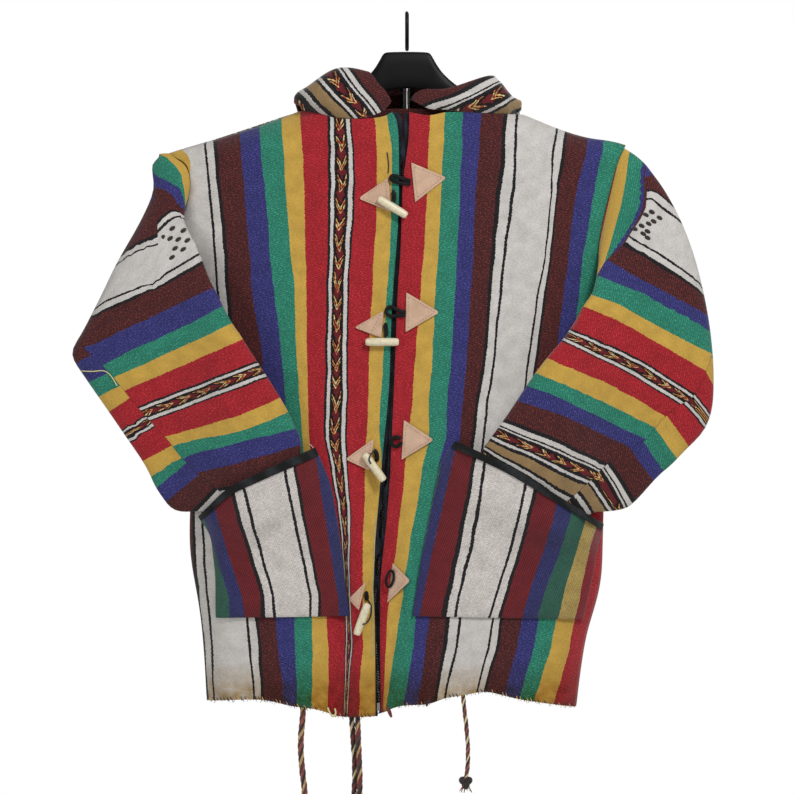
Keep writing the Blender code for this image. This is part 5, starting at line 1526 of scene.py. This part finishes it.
# corners of each patch on the picture
PATCHES = {
    "patch_right_1": ((411, 163), (447, 178), (415, 203)),
    "patch_right_2": ((406, 292.5), (440, 312.5), (405.5, 333)),
    "patch_right_3": ((404, 420), (434, 440), (401.4, 460)),
    "patch_right_4": ((390, 561), (409, 578), (386, 604)),
    "patch_left_1": ((358, 199.5), (387, 177), (391, 213)),
    "patch_left_2": ((354.4, 328), (384, 311), (370, 338)),
    "patch_left_3": ((345, 459), (374, 438.6), (368, 470)),
    "patch_left_4": ((348.5, 597), (364, 581), (358.5, 609)),
}
# the seam runs inside the rim, and one stitch takes 3 units
INSIDE = 0.78
STITCH = 3.0
batch = ([], [], [])
for node, corners in PATCHES.items():
    tree = rays_at(pieces[node])
    corners = np.array(corners, float)
    centre = corners.mean(axis=0)
    inner = centre + (corners - centre) * INSIDE
    for a, b in zip(inner, np.roll(inner, -1, axis=0)):
        count = int(np.linalg.norm(b - a) / STITCH)
        for k in range(count):
            ends = [a + (b - a) * (k + t) / count for t in (0.2, 0.45, 0.7)]
            thread(batch, [lay(tree, *end, 0.1) for end in ends], 0.38, 0, 5)
put_threads("patch_stitches", batch, [sewing])

# %% Whip stitches and frayed ends along the hem
# a stitch each 4.4 mm, in the first four colours; a frayed end has any of them
STITCH_STEP = 4.4
rng = np.random.default_rng(11)
hem_colours = [yarns[key] for key in ("tan", "brown", "gold", "dark", "cream", "red", "white")]
for node, behind in (("front_left", False), ("front_right", False), ("back", True)):
    tree = rays_at(pieces[node])
    co = places_of(pieces[node])
    low_co = co[co[:, 2] < -0.80]
    marks = np.arange(low_co[:, 0].min() + 2 * MM, low_co[:, 0].max() - 2 * MM, STITCH_STEP * MM)
    hem = hem_line(pieces[node], marks)
    batch = ([], [], [])
    for x, z in zip(marks, hem):
        column, row = x / UNIT + MIDDLE, HANG_ROW - z / UNIT
        wander = rng.uniform(-0.5, 0.5, 4)
        over = [lay(tree, column + wander[0], row - 3.4 + wander[1], 0.25, behind),
                lay(tree, column + 0.7, row - 2.0, 0.4, behind),
                lay(tree, column + 1.3, row - 0.7, 0.4, behind)]
        if over[-1] is not None and over[0] is not None:
            over.append(over[-1] + np.array((0.6, 0, -1.2)) * MM)
            thread(batch, over, 0.6, int(rng.integers(0, 4)), 5)
        for _ in range(2):
            if rng.random() < 0.6:
                near = lay(tree, column + rng.uniform(-1.6, 1.6), row - 0.9, -0.8, behind)
                if near is None:
                    continue
                drop = rng.uniform(1.5, 4.5)
                half = (rng.uniform(-0.8, 0.8), rng.uniform(-0.5, 0.5), -0.5 * drop)
                end = (rng.uniform(-2.4, 2.4), rng.uniform(-0.8, 0.8), -drop)
                route = [near, near + np.array(half) * MM, near + np.array(end) * MM]
                thread(batch, route, rng.uniform(0.25, 0.5), int(rng.integers(0, 7)), 4)
    put_threads("hem_threads_" + node, batch, hem_colours)

# %% Loose yarn, a slit's painted shade and the cream selvedge
# names of the pieces below, finish, radius in mm, lift in mm, then places on the picture
LOOSE_AND_SLIT_SHADE = (
    ("sleeve_left", 1, 0.7, 0.5, ((82, 371), (93, 371.5), (105, 371), (112, 376), (118, 386))),
    ("front_left", 0, 0.5, 0.6, ((309, 444), (312, 446), (315, 451), (312, 454), (308, 452))),
    # a dark yarn laid in a slit in the yellow, as painted shade in the slit
    ("front_left", 2, 0.9, 0.0, ((387, 153), (388, 160), (388.5, 167), (388, 174))),
    ("front_left", 4, 0.8, 0.1, ((375.5, 512), (375, 530), (374.3, 550), (373.4, 572), (372.6, 590),
                                 (372.4, 612), (372.2, 640), (372.4, 656))),
    ("front_left", 1, 1.2, 0.8, ((328, 706), (330, 711), (333, 715), (336, 712), (335, 707))),
    ("front_right", 3, 2.6, -1.0, ((386.5, 704), (388, 707), (390, 712), (391.5, 716))),
    ("front_right", 2, 1.9, -1.0, ((430, 696), (429, 698), (427.5, 701), (426.3, 705))),
    ("front_left toggle_3 patch_left_3", 2, 1.1, 0.9,
     ((375.5, 449), (372.5, 452), (370, 456), (369.3, 460), (371, 463.5))),
    ("front_left toggle_3 patch_left_3", 2, 1.2, 0.9, ((375.5, 449), (377.5, 454), (378.5, 460))),
    ("front_left toggle_4 patch_left_4", 2, 1.1, 0.9,
     ((366, 597), (370.5, 603), (371.5, 610), (370, 617), (366.5, 622), (363, 623))),
    ("front_left toggle_1 patch_left_1", 2, 1.6, 0.9, ((393.5, 190), (393.2, 196), (392.6, 203))),
    ("front_left toggle_2", 2, 1.5, 0.9, ((386.5, 327), (386, 332), (385, 338))),
)
# yarn thicker than this is a tuft with thin ends
TUFT_RADIUS = 1.7
loose_finishes = [yarns["white"], spun_yarn("pale_yellow_yarn", "#B8B074", "#CCC58E"), yarns["dark"],
                  yarns["red"], spun_yarn("selvedge_yarn", "#958F5E", "#ABA474")]
batch = ([], [], [])
for node, finish, thick, lift, marks in LOOSE_AND_SLIT_SHADE:
    tree = rays_at(*(pieces[key] for key in node.split()))
    known = []
    for mark in through([(*mark, 0.0) for mark in marks], 1.6)[:, :2]:
        place = lay(tree, *mark, lift)
        # past the cloth's edge, a thread keeps the depth it had
        if place is None and known:
            x, z = spot(*mark)
            place = np.array((x, known[-1][1], z))
        if place is not None:
            known.append(place)
    if len(known) > 3:
        thread(batch, known, thick, finish, 6, taper=thick > TUFT_RADIUS)
put_threads("loose_yarn", batch, loose_finishes)

# %% [markdown]
# ## Studio
# The jacket hangs in soft, even light before white: a strong light high on the right, a wide dim one
# low on the left, one behind for whoever walks round, and a pale floor well below it.

# %% Floor and lights
bpy.ops.object.select_all(action="DESELECT")
bpy.ops.mesh.primitive_plane_add(size=7.0, location=(0, 0, 0))
floor = bpy.context.object
floor.name = "pale_floor"
floor.data.transform(Matrix.Translation((0, 0, -1.35)))
floor_finish, floor_tree, floor_shader = start_material("painted_floor", Roughness=0.9)
floor_stops = ((0.2, "#E6E5E3"), (0.8, "#EDECEA"))
floor_colour = add(floor_tree, "ValToRGB", spots(floor_tree, 3.0, 2.0), stops=floor_stops)
floor_tree.links.new(floor_colour, floor_shader.inputs["Base Color"])
floor.data.materials.append(floor_finish)

# the camera sees the world pure white, but the jacket gets less than half of that as light
FILL = 0.43
world = bpy.data.worlds.new("studio")
bpy.context.scene.world = world
world.use_nodes = True
world.node_tree.nodes["Background"].inputs["Color"].default_value = (1.0, 1.0, 1.0, 1.0)
seen = add(world.node_tree, "LightPath", output="Is Camera Ray")
world.node_tree.links.new(add(world.node_tree, "MapRange", {"Value": seen, 3: FILL, 4: 1.0}),
                          world.node_tree.nodes["Background"].inputs["Strength"])


def area_light(name, place, aim, size, power):
    data = bpy.data.lights.new(name, "AREA")
    data.shape = "DISK"
    data.size = size
    data.energy = power
    lamp = bpy.data.objects.new(name, data)
    bpy.context.collection.objects.link(lamp)
    lamp.location = place
    lamp.rotation_euler = (Vector(aim) - Vector(place)).to_track_quat("-Z", "Y").to_euler()


area_light("key", (1.0, -1.85, 1.15), (0, 0, -0.3), 0.7, 46)
area_light("low_side", (-1.6, -1.4, -0.6), (-0.15, 0, -0.5), 0.9, 9)
area_light("rear", (0.6, 2.4, 0.8), (0, 0, -0.4), 1.0, 40)
bpy.context.scene.view_settings.view_transform = "Standard"
print("lights and floor are in place")
